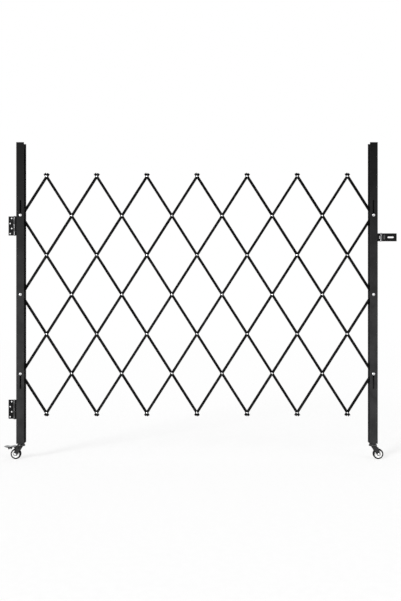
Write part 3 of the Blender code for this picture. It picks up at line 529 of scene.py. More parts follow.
zinc = zinc_plate("zinc_plate", (0.86, 0.865, 0.87), 0.72, 0.3)
# Painted shade: a darker, duller copy of the zinc for the pedal tongue, so it reflects less light
shaded_dull_zinc = zinc_plate("dull_zinc_plate", (0.33, 0.334, 0.34), 0.5, 0.4)

# Axes for what is turned round a line: the third of each lies along it
FRONTWARD, BACKWARD, UPWARD = (ALONG, UP, -DEPTH), (ALONG, UP, DEPTH), (ALONG, DEPTH, UP)
RIVET_HEAD, RIVET_HEIGHT, RIVET_SHANK = 0.0045, 0.0024, 0.0024
FRONT_SEAT, REAR_SEAT = 0.002, 0.0017
rivet_profile = np.vstack((
    dome(RIVET_HEAD, RIVET_HEIGHT, FRONT_SEAT),
    [(RIVET_SHANK, FRONT_SEAT), (RIVET_SHANK, -REAR_SEAT)],
    dome(RIVET_HEAD, RIVET_HEIGHT, REAR_SEAT)[::-1] * (1, -1),
))
for line in RISING:
    column, row = crossings(True, line)
    held = (column > 0) & (column < COLUMNS)
    places = pivot_places(column[held], row[held])
    shapes = [turned(rivet_profile, (x, 0, z), FRONTWARD, 20) for x, z in places]
    node = bar_name(True, line)
    fix_on(node, f"{node}_rivets", shapes, zinc, 50)


# Pivot bolts: six zinc-plated bolts join the lattice to the posts. Each has a domed head at the
# front, a spacer sleeve on either side of the bars, and a hexagon nut behind.

ENDS = (("left", 0), ("right", COLUMNS))
BOLTED_ROWS = (("upper", 1), ("middle", 3), ("lower", 5))
BOLT_RADIUS, BOLT_SEAT, BOLT_HEAD, BOLT_CROWN, BOLT_POINT = 0.0035, 0.0203, 0.0075, 0.005, 0.0015
SLEEVE_RADIUS, SLEEVE_OUTER, SLEEVE_INNER, THREAD_DEPTH = 0.0044, 0.0177, 0.002, 0.0008
NUT_HEIGHT, NUT_FLATS, NUT_EDGE, SEAT_GAP = 0.006, 0.0125, 0.0003, 0.0003
bolt_zinc = zinc_plate("bolt_zinc_plate", (0.62, 0.625, 0.63), 0.68, 0.36)


def threaded(radius, start, end, pitch=0.001, depth=0.0004):
    """The profile of a thread: a radius that falls and rises once in every pitch."""
    height = np.arange(start, end, -pitch / 2)
    groove = depth * (np.arange(len(height)) % 2)
    return np.column_stack((radius - groove, height))


def mirrored(half):
    """The upper half of a profile, and its mirror image below."""
    return half + [(radius, -height) for radius, height in reversed(half)]


def hex_nut(flats, height, bore, origin, axes, sides=72):
    """A nut by rings: its radius is the lesser of a hexagon's and of a cone's at both faces, and it
    comes back through the bore."""
    hexagon = flats / 2 / np.cos((all_round(sides) + pi / 6) % (pi / 3) - pi / 6)
    rise = np.array((0, 0.08, 0.16, 0.26, 0.38)) * flats / 6
    level = np.concatenate((rise, height - rise[::-1]))
    cone = 0.475 * flats + 1.6 * np.minimum(level, height - level)
    outer = np.minimum(hexagon, cone[:, None])
    lip, inner = np.full((1, sides), bore + NUT_EDGE), np.full((1, sides), bore)
    radius = np.vstack((inner, lip, outer, lip, inner))
    level = np.concatenate(((NUT_EDGE, 0), level, (height, height - NUT_EDGE)))
    return ringed(radius, level[:, None], sides, origin, axes)


half = [(BOLT_RADIUS, BOLT_SEAT), (BOLT_RADIUS, SLEEVE_OUTER), (SLEEVE_RADIUS, SLEEVE_OUTER)]
half += [(SLEEVE_RADIUS, SLEEVE_INNER), (BOLT_RADIUS, SLEEVE_INNER)]
tip = -BOLT_SEAT - NUT_HEIGHT - BOLT_POINT
bolt_profile = np.vstack((
    dome(BOLT_HEAD, BOLT_CROWN, BOLT_SEAT, 0.16, 9),
    mirrored(half),
    threaded(BOLT_RADIUS, -BOLT_SEAT - 0.0002, tip + 0.0003),
    [(BOLT_RADIUS - THREAD_DEPTH, tip), (0, tip)],
))
for end, column in ENDS:
    for level, row in BOLTED_ROWS:
        x, z = pivot_places(column, row)[0]
        bolt = turned(bolt_profile, (x, 0, z), FRONTWARD)
        stand_for(f"pivot_bolt_{end}_{level}", f"bolt_{end}_{level}", [bolt], bolt_zinc)
        nut = hex_nut(NUT_FLATS, NUT_HEIGHT, BOLT_RADIUS + SEAT_GAP, (x, BOLT_SEAT, z), BACKWARD)
        stand_for(f"pivot_nut_{end}_{level}", f"nut_{end}_{level}", [nut], bolt_zinc)


# Hinges: two butt hinges of 2 mm steel in black plating. The wall leaf has three knuckles and the
# leaf on the post two, all rolled round the pin, and each leaf has four staggered screw holes.

PLATE_DARK, PLATE_LIGHT = (0.0025, 0.0025, 0.0027), (0.005, 0.005, 0.0052)
# Colours of pale scratches and of a painted highlight, and the width over which it fades
SCRATCHED, PAINTED_HIGHLIGHT, HIGHLIGHT_FADE = (0.03, 0.03, 0.03), (0.1, 0.1, 0.102), 0.001


def plating(name, rough, axis=(0, 0), share=0.0, band=None):
    """Thin black plating: its tone and gloss wander, with pale rubs along fine scratches. It has a
    painted highlight, lighter and metallic by a share, where its distance from an upright axis
    lies in a band."""
    material, shader, place = new_finish(name, 0.0, 0.13)
    tone = clouds(place, 45.0, 5.0, 0.65)
    coat = blend(ramp(tone, 0.35, 0.68), PLATE_DARK, PLATE_LIGHT)
    drawn = add(place, "Mapping", {"Vector": place, "Scale": (900.0, 900.0, 60.0)})
    scratch = clouds(drawn.outputs["Vector"], 1.0, 3.0, 0.6)
    coat = blend(ramp(scratch, 0.66, 0.8), coat, SCRATCHED)
    if band:
        # painted highlight: lighter and metallic where the distance from the axis lies in the band
        off = place
        for work, value in (("SUBTRACT", (*axis, 0)), ("MULTIPLY", (1, 1, 0))):
            off = add(place, "VectorMath", {0: off, 1: value}, operation=work).outputs[0]
        off = add(place, "VectorMath", {0: off}, operation="LENGTH").outputs["Value"]
        away = sum_of(sum_of(off, sum(band) / 2, "SUBTRACT"), 0.0, "ABSOLUTE")
        half = (band[1] - band[0]) / 2
        highlight_share = ramp(away, half, half + HIGHLIGHT_FADE, share, 0.0)
        coat = blend(highlight_share, coat, PAINTED_HIGHLIGHT)
        material.node_tree.links.new(highlight_share, shader.inputs["Metallic"])
    gloss = ramp(tone, 0.3, 0.7, rough - 0.05, rough + 0.08)
    return finished(material, shader, coat, gloss, scratch, 0.00002)


HINGE_HEIGHT, LEAF_REACH, PLATE_WALL, BARREL, HINGE_PIN = 0.092, 0.0315, 0.002, 0.0065, 0.0032
HINGE_CLEARANCE, KNUCKLE_GAP, LEAF_CORNER, PLATE_RIM = 0.0004, 0.0005, 0.0025, 0.0004
HINGE_X, HINGE_Y = LEFT_X - PIVOT_INSET - SEAT_GAP - BARREL, -0.017
HINGE_LEVELS = {"upper": MIDDLE + 0.3295, "lower": 0.2415}
SCREW_NEAR, SCREW_FAR, SCREW_MARGIN, SCREW_HOLE = 0.0165, 0.0238, 0.0094, 0.0034
SCREW_PITCH = (HINGE_HEIGHT - 2 * SCREW_MARGIN) / 3
SCREWS = [(SCREW_NEAR if i % 2 else SCREW_FAR, (i - 1.5) * SCREW_PITCH) for i in range(4)]
ROLL = math.radians(300)
# The knuckles' painted highlight: its axis is shifted off the pin, away from the post, and it is
# full on the wall leaf and weaker on the post leaf
HIGHLIGHT_SHIFT = 0.0018

black_plate = plating("black_plating", 0.22)
highlight_axis = (HINGE_X - HIGHLIGHT_SHIFT, HINGE_Y)
wall_plate = plating("wall_leaf_plating", 0.24, highlight_axis, 1.0, (0.003, BARREL))
post_plate = plating("post_leaf_plating", 0.24, highlight_axis, 0.4, (0.003, BARREL))


def rolled(lead, reach, barrel, turn, height, corner, count, own):
    """A leaf's blank and its course: any lead, a flat to the pin, and 300 degrees round it. The
    blank is a plate with eased corners at run 0, and a tab for each of its own knuckles, half a gap
    narrower where another leaf's knuckle is next to it. A clearance from the barrel parts them."""
    flat, round_it = run_of(lead) + reach, (barrel - PLATE_WALL / 2) * ROLL
    root, end = flat - barrel - HINGE_CLEARANCE, flat + round_it
    half, each = height / 2, height / count
    points, eases = [(0, -half)], [corner]
    for number in own:
        low = -half + number * each + (KNUCKLE_GAP / 2 if number else 0)
        high = -half + (number + 1) * each - (KNUCKLE_GAP / 2 if number < count - 1 else 0)
        tab = box_loop((root, low), (end, high))
        if number == own[0]:
            tab = [(root, -half)] + tab if number else tab[1:]
        if number == own[-1]:
            tab = tab + [(root, half)] if number < count - 1 else tab[:-1]
        points += tab
        eases += [0] * len(tab)
    blank = eased(points + [(0, half)], eases + [corner], 8)
    return blank, lead + [(reach, 0), (round_it, turn * ROLL)]


def hinge_leaf(node, own, origin, axes, finish):
    """A leaf of a hinge, out from the pin along the first axis."""
    blank, course = rolled([], LEAF_REACH, BARREL, -1, HINGE_HEIGHT, LEAF_CORNER, 5, own)
    loops = [blank] + [round_hole((LEAF_REACH - x, z), SCREW_HOLE, 28) for x, z in SCREWS]
    start = (LEAF_REACH, PLATE_WALL / 2 - BARREL)
    leaf = formed_sheet(loops, PLATE_RIM, PLATE_WALL, course, start, pi, origin, axes)
    stand_for(node, f"hinge_{node}", [leaf], finish)


def headed_pin(node, name, height, radius, origin):
    """A pin whose two ends are peened to low round heads."""
    end = height / 2 + SEAT_GAP
    half = [(0, end + 0.0008), (radius + 0.0006, end + 0.0008), (radius + 0.0015, end + 0.0004)]
    half += [(radius + 0.0015, end), (radius, end)]
    pin = turned(eased(mirrored(half), 0.0003, 3, closed=False), origin, UPWARD)
    stand_for(node, name, [pin], black_plate)


rivet = np.vstack((dome(0.0031, 0.0008, 0.0014, 0.3, 5), [(0, 0)]))
for label, level in HINGE_LEVELS.items():
    here = (HINGE_X, HINGE_Y, level)
    hinge_leaf(f"wall_leaf_{label}", (0, 2, 4), here, (-ALONG, -DEPTH, UP), wall_plate)
    hinge_leaf(f"post_leaf_{label}", (1, 3), here, (DEPTH, -ALONG, UP), post_plate)
    headed_pin(f"hinge_pin_{label}", f"pin_{label}", HINGE_HEIGHT, HINGE_PIN, here)
    places = [(LEFT_X - PIVOT_INSET, HINGE_Y + y, level + z) for y, z in SCREWS]
    heads = [turned(rivet, place, (UP, DEPTH, -ALONG), 20) for place in places]
    fix_on(f"post_leaf_{label}", f"post_leaf_rivets_{label}", heads, black_plate)


# Hasp: a folded base screwed to the right post, and a strap that swings on its pin and closes over
# a staple, both of 2 mm black-plated steel. A pad is pressed up round the strap's slot.

HASP_HEIGHT, HASP_BARREL, HASP_PIN, STANDOFF = 0.0385, 0.006, 0.003, 0.0165
hasp_place = (RIGHT_X + PIVOT_INSET + STANDOFF, -0.013, MIDDLE + 0.2755)
# Painted highlights: a lighter, metallic band on the hasp's barrel, and one on the pad's ramp
hasp_plate = plating("hasp_plating", 0.24, hasp_place[:2], 1.0, (0.002, HASP_BARREL))
pad_plate = plating("pad_plating", 0.24, hasp_place[:2], 1.0, (0.0145, 0.02))

STRAP_LINE = HASP_BARREL - PLATE_WALL / 2
BASE_BACK, BASE_LINE, BASE_BEND = 0.033, SEAT_GAP - STANDOFF + PLATE_WALL / 2, 0.0025
BASE_CORNER, BASE_SCREW, BASE_HOLE, BASE_LEVELS = 0.002, 0.0195, 0.0022, (-0.012, 0.012)
lead = [(BASE_BACK - STRAP_LINE - BASE_BEND, 0), (BASE_BEND * pi / 2, pi / 2)]
reach = -BASE_LINE - BASE_BEND
blank, course = rolled(lead, reach, HASP_BARREL, -1, HASP_HEIGHT, BASE_CORNER, 3, (0, 2))
loops = [round_hole((BASE_BACK - BASE_SCREW, level), BASE_HOLE, 24) for level in BASE_LEVELS]
start, turn = (BASE_LINE, BASE_BACK), -pi / 2
base = formed_sheet([blank] + loops, PLATE_RIM, PLATE_WALL, course, start, turn, hasp_place, UPWARD)
stand_for("hasp_base", "hasp_angle", [base], hasp_plate)

STRAP_REACH, STRAP_CORNER = 0.0934 - STANDOFF, 0.003
SLOT_RUN, SLOT_HALF, SLOT_RADIUS = 0.0294, 0.0112, 0.0038
slot = long_hole((SLOT_RUN - SLOT_HALF, 0), (SLOT_RUN + SLOT_HALF, 0), SLOT_RADIUS, 40)
blank, course = rolled([], STRAP_REACH, HASP_BARREL, 1, HASP_HEIGHT, STRAP_CORNER, 3, (1,))
start, turn = (STRAP_REACH, STRAP_LINE), pi
strap = formed_sheet([blank, slot], PLATE_RIM, PLATE_WALL, course, start, turn, hasp_place, UPWARD)
stand_for("hasp_strap", "hasp_slotted_strap", [strap], hasp_plate)


def pressed_pad():
    """The raised pad, by rings between its outer edge and its slot. In each direction from the
    slot's centre, a point lies a share of the way between a rectangle and the round-ended slot.
    Its height is the rise times a slope in X, eased at both edges, with a lip at the slot."""
    near, far, half, rise, slope = 0.012, STRAP_REACH - 0.0109, 0.01, 0.0014, 0.0095
    edge_run, rim_run, sunk = 0.0012, 0.0005, 0.0005
    lip_rise, lip_run, lip_width = 0.00022, 0.0011, 0.0008
    centre, face = STRAP_REACH - SLOT_RUN, STRAP_LINE - PLATE_WALL / 2
    right, left = far - centre, centre - near
    corners = [math.atan2(y, x) for x in (right, -left) for y in (half, -half)]
    angle = np.unique(np.append(np.linspace(-pi, pi, 121)[:-1] + 0.01, corners))
    cosine, sine = np.cos(angle), np.sin(angle)
    outer = np.minimum(np.where(cosine > 0, right, left) / np.abs(cosine), half / np.abs(sine))
    side = SLOT_RADIUS / np.abs(sine)
    round_end = np.sqrt(np.maximum(SLOT_RADIUS**2 - (SLOT_HALF * sine) ** 2, 0))
    round_end += SLOT_HALF * np.abs(cosine)
    inner = np.where(side * np.abs(cosine) <= SLOT_HALF, side, round_end)
    share = (0, 0, 0.03, 0.07, 0.13, 0.22, 0.35, 0.5, 0.64, 0.76, 0.86, 0.92, 0.96, 1, 1)
    share = np.array(share)[:, None]
    span = outer * (1 - share) + inner * share
    x, z = centre + span * cosine, span * sine
    edge = np.clip(np.minimum(far - x, half - np.abs(z)) / edge_run, 0, 1)
    along, from_slot = np.clip((x - near) / slope, 0, 1), span - inner
    rim = np.clip(from_slot / rim_run, 0, 1)
    lip = lip_rise * np.exp(-(((from_slot - lip_run) / lip_width) ** 2))
    height = along * (rise * edge**0.7 * (0.55 + 0.45 * rim**0.5) + lip)
    height[[0, -1]] = -sunk
    points = np.stack((x, face - height, z), axis=-1).reshape(-1, 3)
    return points + hasp_place, [grid_faces(len(share), len(angle), True)]


fix_on("hasp_strap", "hasp_pressed_pad", [pressed_pad()], pad_plate)
headed_pin("hasp_pin", "hasp_hinge_pin", HASP_HEIGHT, HASP_PIN, hasp_place)
shank = [(0.0019, 0), (0.0019, -0.0018), (0, -0.0018)]
screw = np.vstack((dome(0.0036, 0.0016, 0.0, 0.2, 6), shank))
face = hasp_place + np.array((BASE_LINE + PLATE_WALL / 2, BASE_SCREW, 0))
heads = [turned(screw, face + level * UP, (UP, DEPTH, ALONG), 24) for level in BASE_LEVELS]
fix_on("hasp_base", "hasp_screws", heads, zinc)


# Caster brackets: a U of 2.5 mm sheet welded in each post's foot, riveted through the flanges, with
# a hole for the caster's stem, which a hexagon nut holds from above.

BRACKET_WALL, BRACKET_BEND, BRACKET_EAR, BRACKET_CORNER = 0.0025, 0.0035, 0.018, 0.002
BRACKET_IN, BRACKET_OUT, BRACKET_RIVET, SWIVEL_INSET = 0.019, 0.015, 0.0063, 0.002
STEM_HOLE, STEM_FLATS, STEM_NUT = 0.0053, 0.016, 0.008
CASTERS = {"left": (LEFT_X - SWIVEL_INSET, -1), "right": (RIGHT_X + SWIVEL_INSET, 1)}
wide = POST_DEPTH - 2 * POST_WALL - 2 * SEAT_GAP
course = channel_course(wide, BRACKET_EAR, BRACKET_BEND, BRACKET_WALL)
run = run_of(course)
blank = eased(box_loop((0, -BRACKET_IN), (run, BRACKET_OUT)), BRACKET_CORNER)
loops = [blank, round_hole((run / 2, 0), STEM_HOLE)]
start = ((BRACKET_WALL - wide) / 2, -(POST_FOOT + BRACKET_EAR))
head = np.vstack((dome(0.0038, 0.0009, POST_DEPTH / 2, 0.2, 5), [(0, POST_DEPTH / 2 - 0.001)]))
for label, (x, side) in CASTERS.items():
    swivel, axes = (x, 0, 0), (DEPTH, -UP, side * ALONG)
    shape = formed_sheet(loops, POST_RIM, BRACKET_WALL, course, start, pi / 2, swivel, axes)
    stand_for(f"caster_bracket_{label}", f"foot_bracket_{label}", [shape], black_coat)
    place = (x, 0, POST_FOOT + BRACKET_RIVET)
    heads = [turned(head, place, way, 24) for way in (FRONTWARD, BACKWARD)]
    fix_on(f"{label}_post", f"foot_rivets_{label}", heads, black_coat)
    place = (x, 0, POST_FOOT + BRACKET_WALL + SEAT_GAP)
    nut = hex_nut(STEM_FLATS, STEM_NUT, STEM_HOLE, place, UPWARD)
    stand_for(f"stem_nut_{label}", f"bracket_nut_{label}", [nut], zinc)


# Casters: 50 mm swivel casters. The stem carries a cupped upper race and the kingpin, on which the
# fork's crown turns. The fork is pressed from 2 mm sheet, its two leaning arms folded down.

# Painted shade: a darker copy of the zinc for the stems and cupped races, which lie in shade under
# the posts
shaded_zinc = zinc_plate("dark_zinc_plate", (0.12, 0.12, 0.122), 0.4, 0.4)

CUP_RADIUS, CUP_TOP, CUP_FOOT, CROWN_TOP, CROWN_FOOT = 0.0185, 0.0737, 0.0672, 0.0669, 0.0639
WHEEL_RADIUS, TRAIL, ARM_INNER, ARM_WALL, ARM_END = 0.025, 0.0245, 0.0108, 0.002, 0.0085
AXLE_BORE, PIN_X, PIN_LEVEL, PIN_BORE = 0.0033, 0.008, 0.0555, 0.0023

cup = [(0.012, CUP_TOP), (0.0148, CUP_TOP), (0.0172, 0.0716), (CUP_RADIUS, 0.07)]
cup += [(CUP_RADIUS, 0.0678), (0.018, CUP_FOOT), (0.0165, CUP_FOOT), (0.016, 0.069)]
STEM_RADIUS, KINGPIN, stem_top = 0.005, 0.004, POST_FOOT + 0.0165
stem_profile = np.vstack((
    [(0, stem_top), (STEM_RADIUS - THREAD_DEPTH, stem_top)],
    threaded(STEM_RADIUS, stem_top - THREAD_DEPTH, POST_FOOT + 0.0005),
    [(STEM_RADIUS, POST_FOOT - SEAT_GAP), (0.0108, POST_FOOT - SEAT_GAP)],
    [(0.011, POST_FOOT - 0.0005), (0.011, CUP_TOP)],
    eased(cup, 0.0012, 4, closed=False),
    [(0.0045, 0.069), (KINGPIN, 0.0675), (KINGPIN, 0.0636), (0.0062, 0.0636), (0.0065, 0.063)],
    [(0.0062, 0.0613), (0.0055, 0.0611), (0, 0.0611)],
))

FORK_TOP, FORK_BEND, FORK_RIM, arm_low = 0.066, 0.0022, 0.0006, WHEEL_RADIUS - ARM_END
fork_course = channel_course(2 * (ARM_INNER + ARM_WALL), FORK_TOP - arm_low, FORK_BEND, ARM_WALL)
leg, fork_run = fork_course[0][0], run_of(fork_course)
crown = [(0.0044, 0.0663), (0.015, 0.0663), (0.0155, CROWN_TOP), (0.0188, CROWN_TOP)]
crown += [(0.0195, 0.0661), (0.0195, CROWN_FOOT), (0.018, CROWN_FOOT)]
crown = eased(crown + [(0.0175, 0.0643), (0.0044, 0.0643)], 0.0004, 3)


def touching(centre, radius, point, side):
    """The angle at which a line from the point touches a circle on one side."""
    way = np.subtract(point, centre)
    return math.atan2(way[1], way[0]) + side * math.acos(radius / np.linalg.norm(way))


def arm_blank():
    """The fork's blank: an arm from the crown over its shoulder, round the axle and back up, and
    its mirror image at the far end. Runs are levels above the arm's lowest point."""
    axle, top = np.array((ARM_END, TRAIL)), leg - 0.0003
    front, foot = (top, -0.009), (top - 0.0125, 0.0245)
    start, end = touching(axle, ARM_END, foot, 1), touching(axle, ARM_END, front, -1)
    angle = np.linspace(start, end + (0 if end > start else 2 * pi), 28)
    round_end = axle + ARM_END * on_circle(angle)
    shoulder = [(top, 0.014), (top - 0.0065, 0.0245), foot, round_end[0]]
    shoulder = eased(shoulder, 0.003, 5, closed=False)
    arm = np.vstack((shoulder[:-1], round_end, [front]))
    return np.vstack((arm, (arm * (-1, 1) + (fork_run, 0))[::-1]))


for label, (x, side) in CASTERS.items():
    swivel, axes = (x, 0, 0), (side * DEPTH, UP, side * ALONG)
    stem = turned(stem_profile, swivel, UPWARD, 64)
    stand_for(f"caster_stem_{label}", f"stem_and_race_{label}", [stem], shaded_zinc)
    bores = [(ARM_END, TRAIL, AXLE_BORE)]
    if label == "left":
        bores.append((PIN_LEVEL - arm_low, PIN_X, PIN_BORE))
    loops = [arm_blank()]
    for run, level, radius in bores:
        loops += [round_hole((place, level), radius, 24) for place in (run, fork_run - run)]
    start, turn = (-ARM_INNER - ARM_WALL / 2, arm_low), pi / 2
    arms = formed_sheet(loops, FORK_RIM, ARM_WALL, fork_course, start, turn, swivel, axes)
    race = turned(crown, swivel, UPWARD, 64, closed=True)
    stand_for(f"caster_fork_{label}", f"pressed_fork_{label}", [arms, race], black_coat)


# Wheels: a moulded nylon hub, dished between its boss and its rim and stiffened by ribs, with a
# black rubber tyre moulded round it. An axle bolt with a domed head and a lock nut carries it.


def moulded(name, colour, shade, rough, specular):
    """Moulded plastic or rubber, in a slot of its own name: its tone wanders, with a fine skin."""
    material, shader, place = new_finish(name, 0.0, specular)
    colour = blend(ramp(clouds(place, 90.0, 4.0, 0.6), 0.3, 0.72), colour, shade)
    skin = clouds(place, 1400.0, 2.0, 0.6)
    gloss = ramp(skin, 0.3, 0.7, rough - 0.06, rough + 0.08)
    return finished(material, shader, colour, gloss, skin, 0.00003)


pale_nylon = moulded("pale_nylon", (0.97, 0.97, 0.965), (0.93, 0.93, 0.92), 0.42, 0.4)
black_rubber = moulded("black_rubber", (0.002, 0.002, 0.0021), (0.005, 0.005, 0.0052), 0.68, 0.08)

WHEEL_HALF, HUB_HALF, BOSS, DISH_END, RIM = 0.0085, 0.0105, 0.0077, 0.0149, 0.0177


def ribbed_hub(centre, ribs=6, rib_rise=0.0022, rib_half=0.0011, sides=144):
    """The hub's profile turned round, with its dish raised by ribs between boss and rim: a bell
    curve of the distance to the nearest rib."""
    dish = WHEEL_HALF - 0.004
    half = [(0.0033, HUB_HALF), (0.0072, HUB_HALF), (0.0075, HUB_HALF - 0.0003)]
    half += [(0.0079, dish + 0.0006)] + [(r, dish) for r in (0.0086, 0.01, 0.012, 0.0138)]
    half += [(0.0143, dish + 0.0003), (0.0148, dish + 0.0012), (0.0151, WHEEL_HALF - 0.0004)]
    half += [(0.0155, WHEEL_HALF), (RIM, WHEEL_HALF)]
    radius, height = np.array(mirrored(half)).T[:, :, None]
    off = (all_round(sides) + pi / ribs) % (2 * pi / ribs) - pi / ribs
    bell = np.exp(-((radius * off / rib_half) ** 4))
    raised = np.sign(height) * np.maximum(np.abs(height), dish + rib_rise * bell)
    height = np.where((radius > BOSS) & (radius < DISH_END), raised, height)
    return ringed(radius, height, sides, centre, FRONTWARD)


half = [(0.018, 0.0082), (0.0183, WHEEL_HALF), (0.0204, WHEEL_HALF), (0.0207, 0.0083)]
half += [(0.0222, 0.0083), (0.024, 0.0076), (0.0248, 0.0056), (WHEEL_RADIUS, 0.003)]
tyre_profile = eased(mirrored(half), 0.0008, 4)
fork_face = ARM_INNER + ARM_WALL + SEAT_GAP
axle_profile = np.vstack((
    dome(0.0053, 0.0036, fork_face, 0.2, 8),
    [(0.003, fork_face), (0.003, -fork_face)],
    [(0.0028, -fork_face - 0.004), (0, -fork_face - 0.004)],
))
LOCK_FLATS, LOCK_HEIGHT, LOCK_BORE = 0.0112, 0.0038, 0.0027
for label, (x, side) in CASTERS.items():
    centre = (x + side * TRAIL, 0, WHEEL_RADIUS)
    hub = ribbed_hub(centre)
    stand_for(f"wheel_hub_{label}", f"moulded_hub_{label}", [hub], pale_nylon)
    tyre = turned(tyre_profile, centre, FRONTWARD, 96, closed=True)
    stand_for(f"wheel_tyre_{label}", f"tyre_{label}", [tyre], black_rubber)
    axle = turned(axle_profile, centre, FRONTWARD, 40)
    behind = (centre[0], fork_face, centre[2])
    nut = hex_nut(LOCK_FLATS, LOCK_HEIGHT, LOCK_BORE, behind, BACKWARD)
    stand_for(f"axle_bolt_{label}", f"axle_{label}", [axle, nut], zinc)


# Brake pedal: a waved zinc-plated tongue over the left wheel. Two cheeks under its root turn on a
# pin in the fork, and a curled spring strip under it grips the tyre when it is trodden down.

PEDAL_ROOT, PEDAL_REACH, PEDAL_LEVEL = 0.0252, 0.0825, 0.0615
PEDAL_WALL, PEDAL_HALF, PEDAL_UNDER = 0.0018, 0.014, 0.0026
CURL_NEAR, CURL_FAR, CURL_DEPTH, CURL_HALF, CURL_WALL = 0.042, 0.063, 0.0125, 0.0065, 0.0026
SPRING_END, SPRING_HALF, SPRING_WALL = PEDAL_REACH - 0.006, 0.0138, 0.0034
CHEEK, CHEEK_IN, CHEEK_OUT, CHEEK_RIM, ROUNDNESS = 0.0045, 0.009, 0.0105, 0.0003, 0.28
x, side = CASTERS["left"]
swivel, pedal_axes = (x, 0, 0), (side * ALONG, side * DEPTH, UP)


def tongue_level(x):
    """The tongue's middle line: it waves 1.5 times over its length, and droops by the cube."""
    share = (x - PEDAL_ROOT) / (PEDAL_REACH - PEDAL_ROOT)
    return PEDAL_LEVEL + 0.0015 * np.sin(3 * pi * share) - 0.002 * share**3


def strip_along(x, z, half, wall, ring):
    """A strip by rings across its line: each ring is the flat loop |w|^n + |t|^n = 1, with n as 2
    over ROUNDNESS, as wide as the strip and as thick as its wall. Its two ends are closed."""
    slope_x, slope_z = np.gradient(x), np.gradient(z)
    length = np.hypot(slope_x, slope_z)
    angle = 2 * pi * (np.arange(ring) + 0.5) / ring
    wide, thick = (np.sign(way) * np.abs(way) ** ROUNDNESS for way in on_circle(angle).T)
    thick *= wall / 2
    over = x[:, None] - np.outer(slope_z / length, thick)
    level = z[:, None] + np.outer(slope_x / length, thick)
    local = np.stack((over, np.outer(half, wide), level), axis=-1)
    caps = [np.arange(ring)[None, ::-1], (len(x) - 1) * ring + np.arange(ring)[None, :]]
    return brought(local, swivel, pedal_axes), [grid_faces(len(x), ring)] + caps


share = np.sin(np.linspace(0, pi / 2, 64))
tongue_x = PEDAL_ROOT + (PEDAL_REACH - PEDAL_ROOT) * share
to_tip = np.clip((tongue_x - (PEDAL_REACH - PEDAL_HALF)) / PEDAL_HALF, 0, 1)
tongue_half = PEDAL_HALF * np.sqrt(np.maximum(1 - to_tip**2, 0.001))
tongue = strip_along(tongue_x, tongue_level(tongue_x), tongue_half, PEDAL_WALL, 32)
stand_for("brake_pedal", "pedal_tongue", [tongue], shaded_dull_zinc, 50)

share = np.linspace(0, 1, 72)
curl_x = CURL_NEAR + (CURL_FAR - CURL_NEAR) * share
curl_z = tongue_level(curl_x) - PEDAL_UNDER
curl_z -= CURL_DEPTH * 0.4 * (1 - np.cos(4 * pi * share))
curls = strip_along(curl_x, curl_z, np.full(len(share), CURL_HALF), CURL_WALL, 16)
spring_x = np.linspace(PEDAL_ROOT, SPRING_END, 60)
spring_z = tongue_level(spring_x) - PEDAL_UNDER
to_end = np.clip((SPRING_END + 0.001 - spring_x) / 0.011, 0.05, 1)
spring = strip_along(spring_x, spring_z, SPRING_HALF * np.sqrt(to_end), SPRING_WALL, 20)


def cheek(low, high):
    """A cheek between two depths: round about the pin, and out under the tongue's root."""
    round_end = (PIN_X, PIN_LEVEL) + CHEEK * on_circle(np.radians(np.linspace(90, 270, 17)))
    near, far = PEDAL_ROOT + np.array((0.02, 0.14)) * (PEDAL_REACH - PEDAL_ROOT)
    foot = [(0.02, PIN_LEVEL - CHEEK), (PEDAL_ROOT + CHEEK, PIN_LEVEL - CHEEK)]
    foot = eased(foot + [(far, tongue_level(far))], 0.003, 5, closed=False)
    outline = np.vstack((round_end, foot, [(near, tongue_level(near))]))
    loops = [outline, round_hole((PIN_X, PIN_LEVEL), PIN_BORE, 20)]
    start, course = (0, (low + high) / 2), [(1.0, 0)]
    return formed_sheet(loops, CHEEK_RIM, high - low, course, start, 0.0, swivel, pedal_axes)


parts = [spring, curls, cheek(CHEEK_IN, CHEEK_OUT), cheek(-CHEEK_OUT, -CHEEK_IN)]
fix_on("brake_pedal", "pedal_curls_and_cheeks", parts, black_plate)
half = [(0, fork_face + 0.0012), (0.0026, fork_face + 0.0012), (0.0032, fork_face + 0.0006)]
half += [(0.0032, fork_face), (0.002, fork_face)]
pin = turned(mirrored(half), (x + side * PIN_X, 0, PIN_LEVEL), FRONTWARD)
stand_for("brake_pin", "pedal_pin", [pin], black_plate)


# Floor, light and camera: a pale floor that runs into a white background, a high and a low soft
# lamp at the front left with a weaker one at the right, and a level camera 3 m away.


def seen_directly(tree):
    """Whether a ray comes from the camera, off a glossy surface or through glass."""
    rays = add(tree, "LightPath").outputs
    seen = sum_of(rays["Is Camera Ray"], rays["Is Glossy Ray"], "MAXIMUM")
    return sum_of(seen, rays["Is Transmission Ray"], "MAXIMUM")


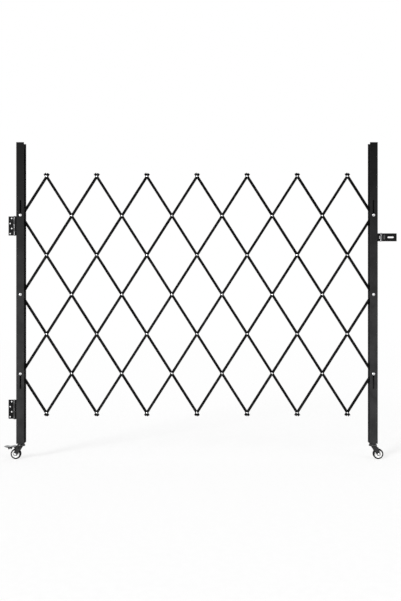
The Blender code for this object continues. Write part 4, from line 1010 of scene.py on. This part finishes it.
FLOOR_REACH, GLOW, BOUNCE, WHITE = 9, 0.66, (0.8, 0.8, 0.8, 1), (1, 1, 1, 1)
floor_mesh = bpy.data.meshes.new("studio_floor")
corners = FLOOR_REACH * np.array([(-1, -1, 0), (1, -1, 0), (1, 1, 0), (-1, 1, 0)])
floor_mesh.from_pydata(corners, [], [(0, 1, 2, 3)])
floor = new_object("studio_floor", floor_mesh)
paper = bpy.data.materials.new("pale_paper")
paper.use_nodes = True
tree = paper.node_tree
tree.nodes.remove(tree.nodes["Principled BSDF"])
fibre = clouds(add(tree, "TexCoord").outputs["Object"], 40.0, 3.0)
shade = blend(ramp(fibre, 0.3, 0.7), (0.4, 0.4, 0.4), (0.42, 0.42, 0.42))
matt = add(tree, "BsdfDiffuse", {"Color": shade}).outputs[0]
glow = add(tree, "Emission", {"Color": WHITE, "Strength": GLOW}).outputs[0]
lit = add(tree, "AddShader", {0: matt, 1: glow}).outputs[0]
plain = add(tree, "BsdfDiffuse", {"Color": BOUNCE}).outputs[0]
surface = add(tree, "MixShader", {0: seen_directly(tree), 1: plain, 2: lit}).outputs[0]
tree.links.new(surface, tree.nodes["Material Output"].inputs["Surface"])
floor_mesh.materials.append(paper)

ROOM_LIGHT = 0.55
world = bpy.context.scene.world = bpy.data.worlds.new("white_room")
world.use_nodes = True
tree = world.node_tree
back = tree.nodes["Background"]
back.inputs["Color"].default_value = WHITE
tree.links.new(ramp(seen_directly(tree), 0.0, 1.0, ROOM_LIGHT, 1.0), back.inputs["Strength"])

# Far round lamps, each with where it stands, its width in degrees and its power
LAMPS = {
    "key_lamp": ((-2.6, -2.8, 2.1), 16, 1.25),
    "fill_lamp": ((3.0, -2.4, 1.0), 30, 0.5),
    "strip_lamp": ((-2.3, -3.3, 0.3), 12, 1.2),
}
for name, (place, width, power) in LAMPS.items():
    lamp = bpy.data.lights.new(name, "SUN")
    lamp.angle, lamp.energy = math.radians(width), power
    new_object(name, lamp).rotation_euler = Vector(place).to_track_quat("Z", "Y").to_euler()

FOCAL_PIXELS, PHOTO_HEIGHT, CAMERA_PLACE = 625, 601, (0.00195, -3.0175, 0.7643)
camera = bpy.data.cameras.new("front_camera")
camera.lens = camera.sensor_width * FOCAL_PIXELS / PHOTO_HEIGHT
holder = bpy.context.scene.camera = new_object("front_camera", camera)
holder.location, holder.rotation_euler = CAMERA_PLACE, (pi / 2, 0, 0)
bpy.context.scene.view_settings.view_transform = "Standard"
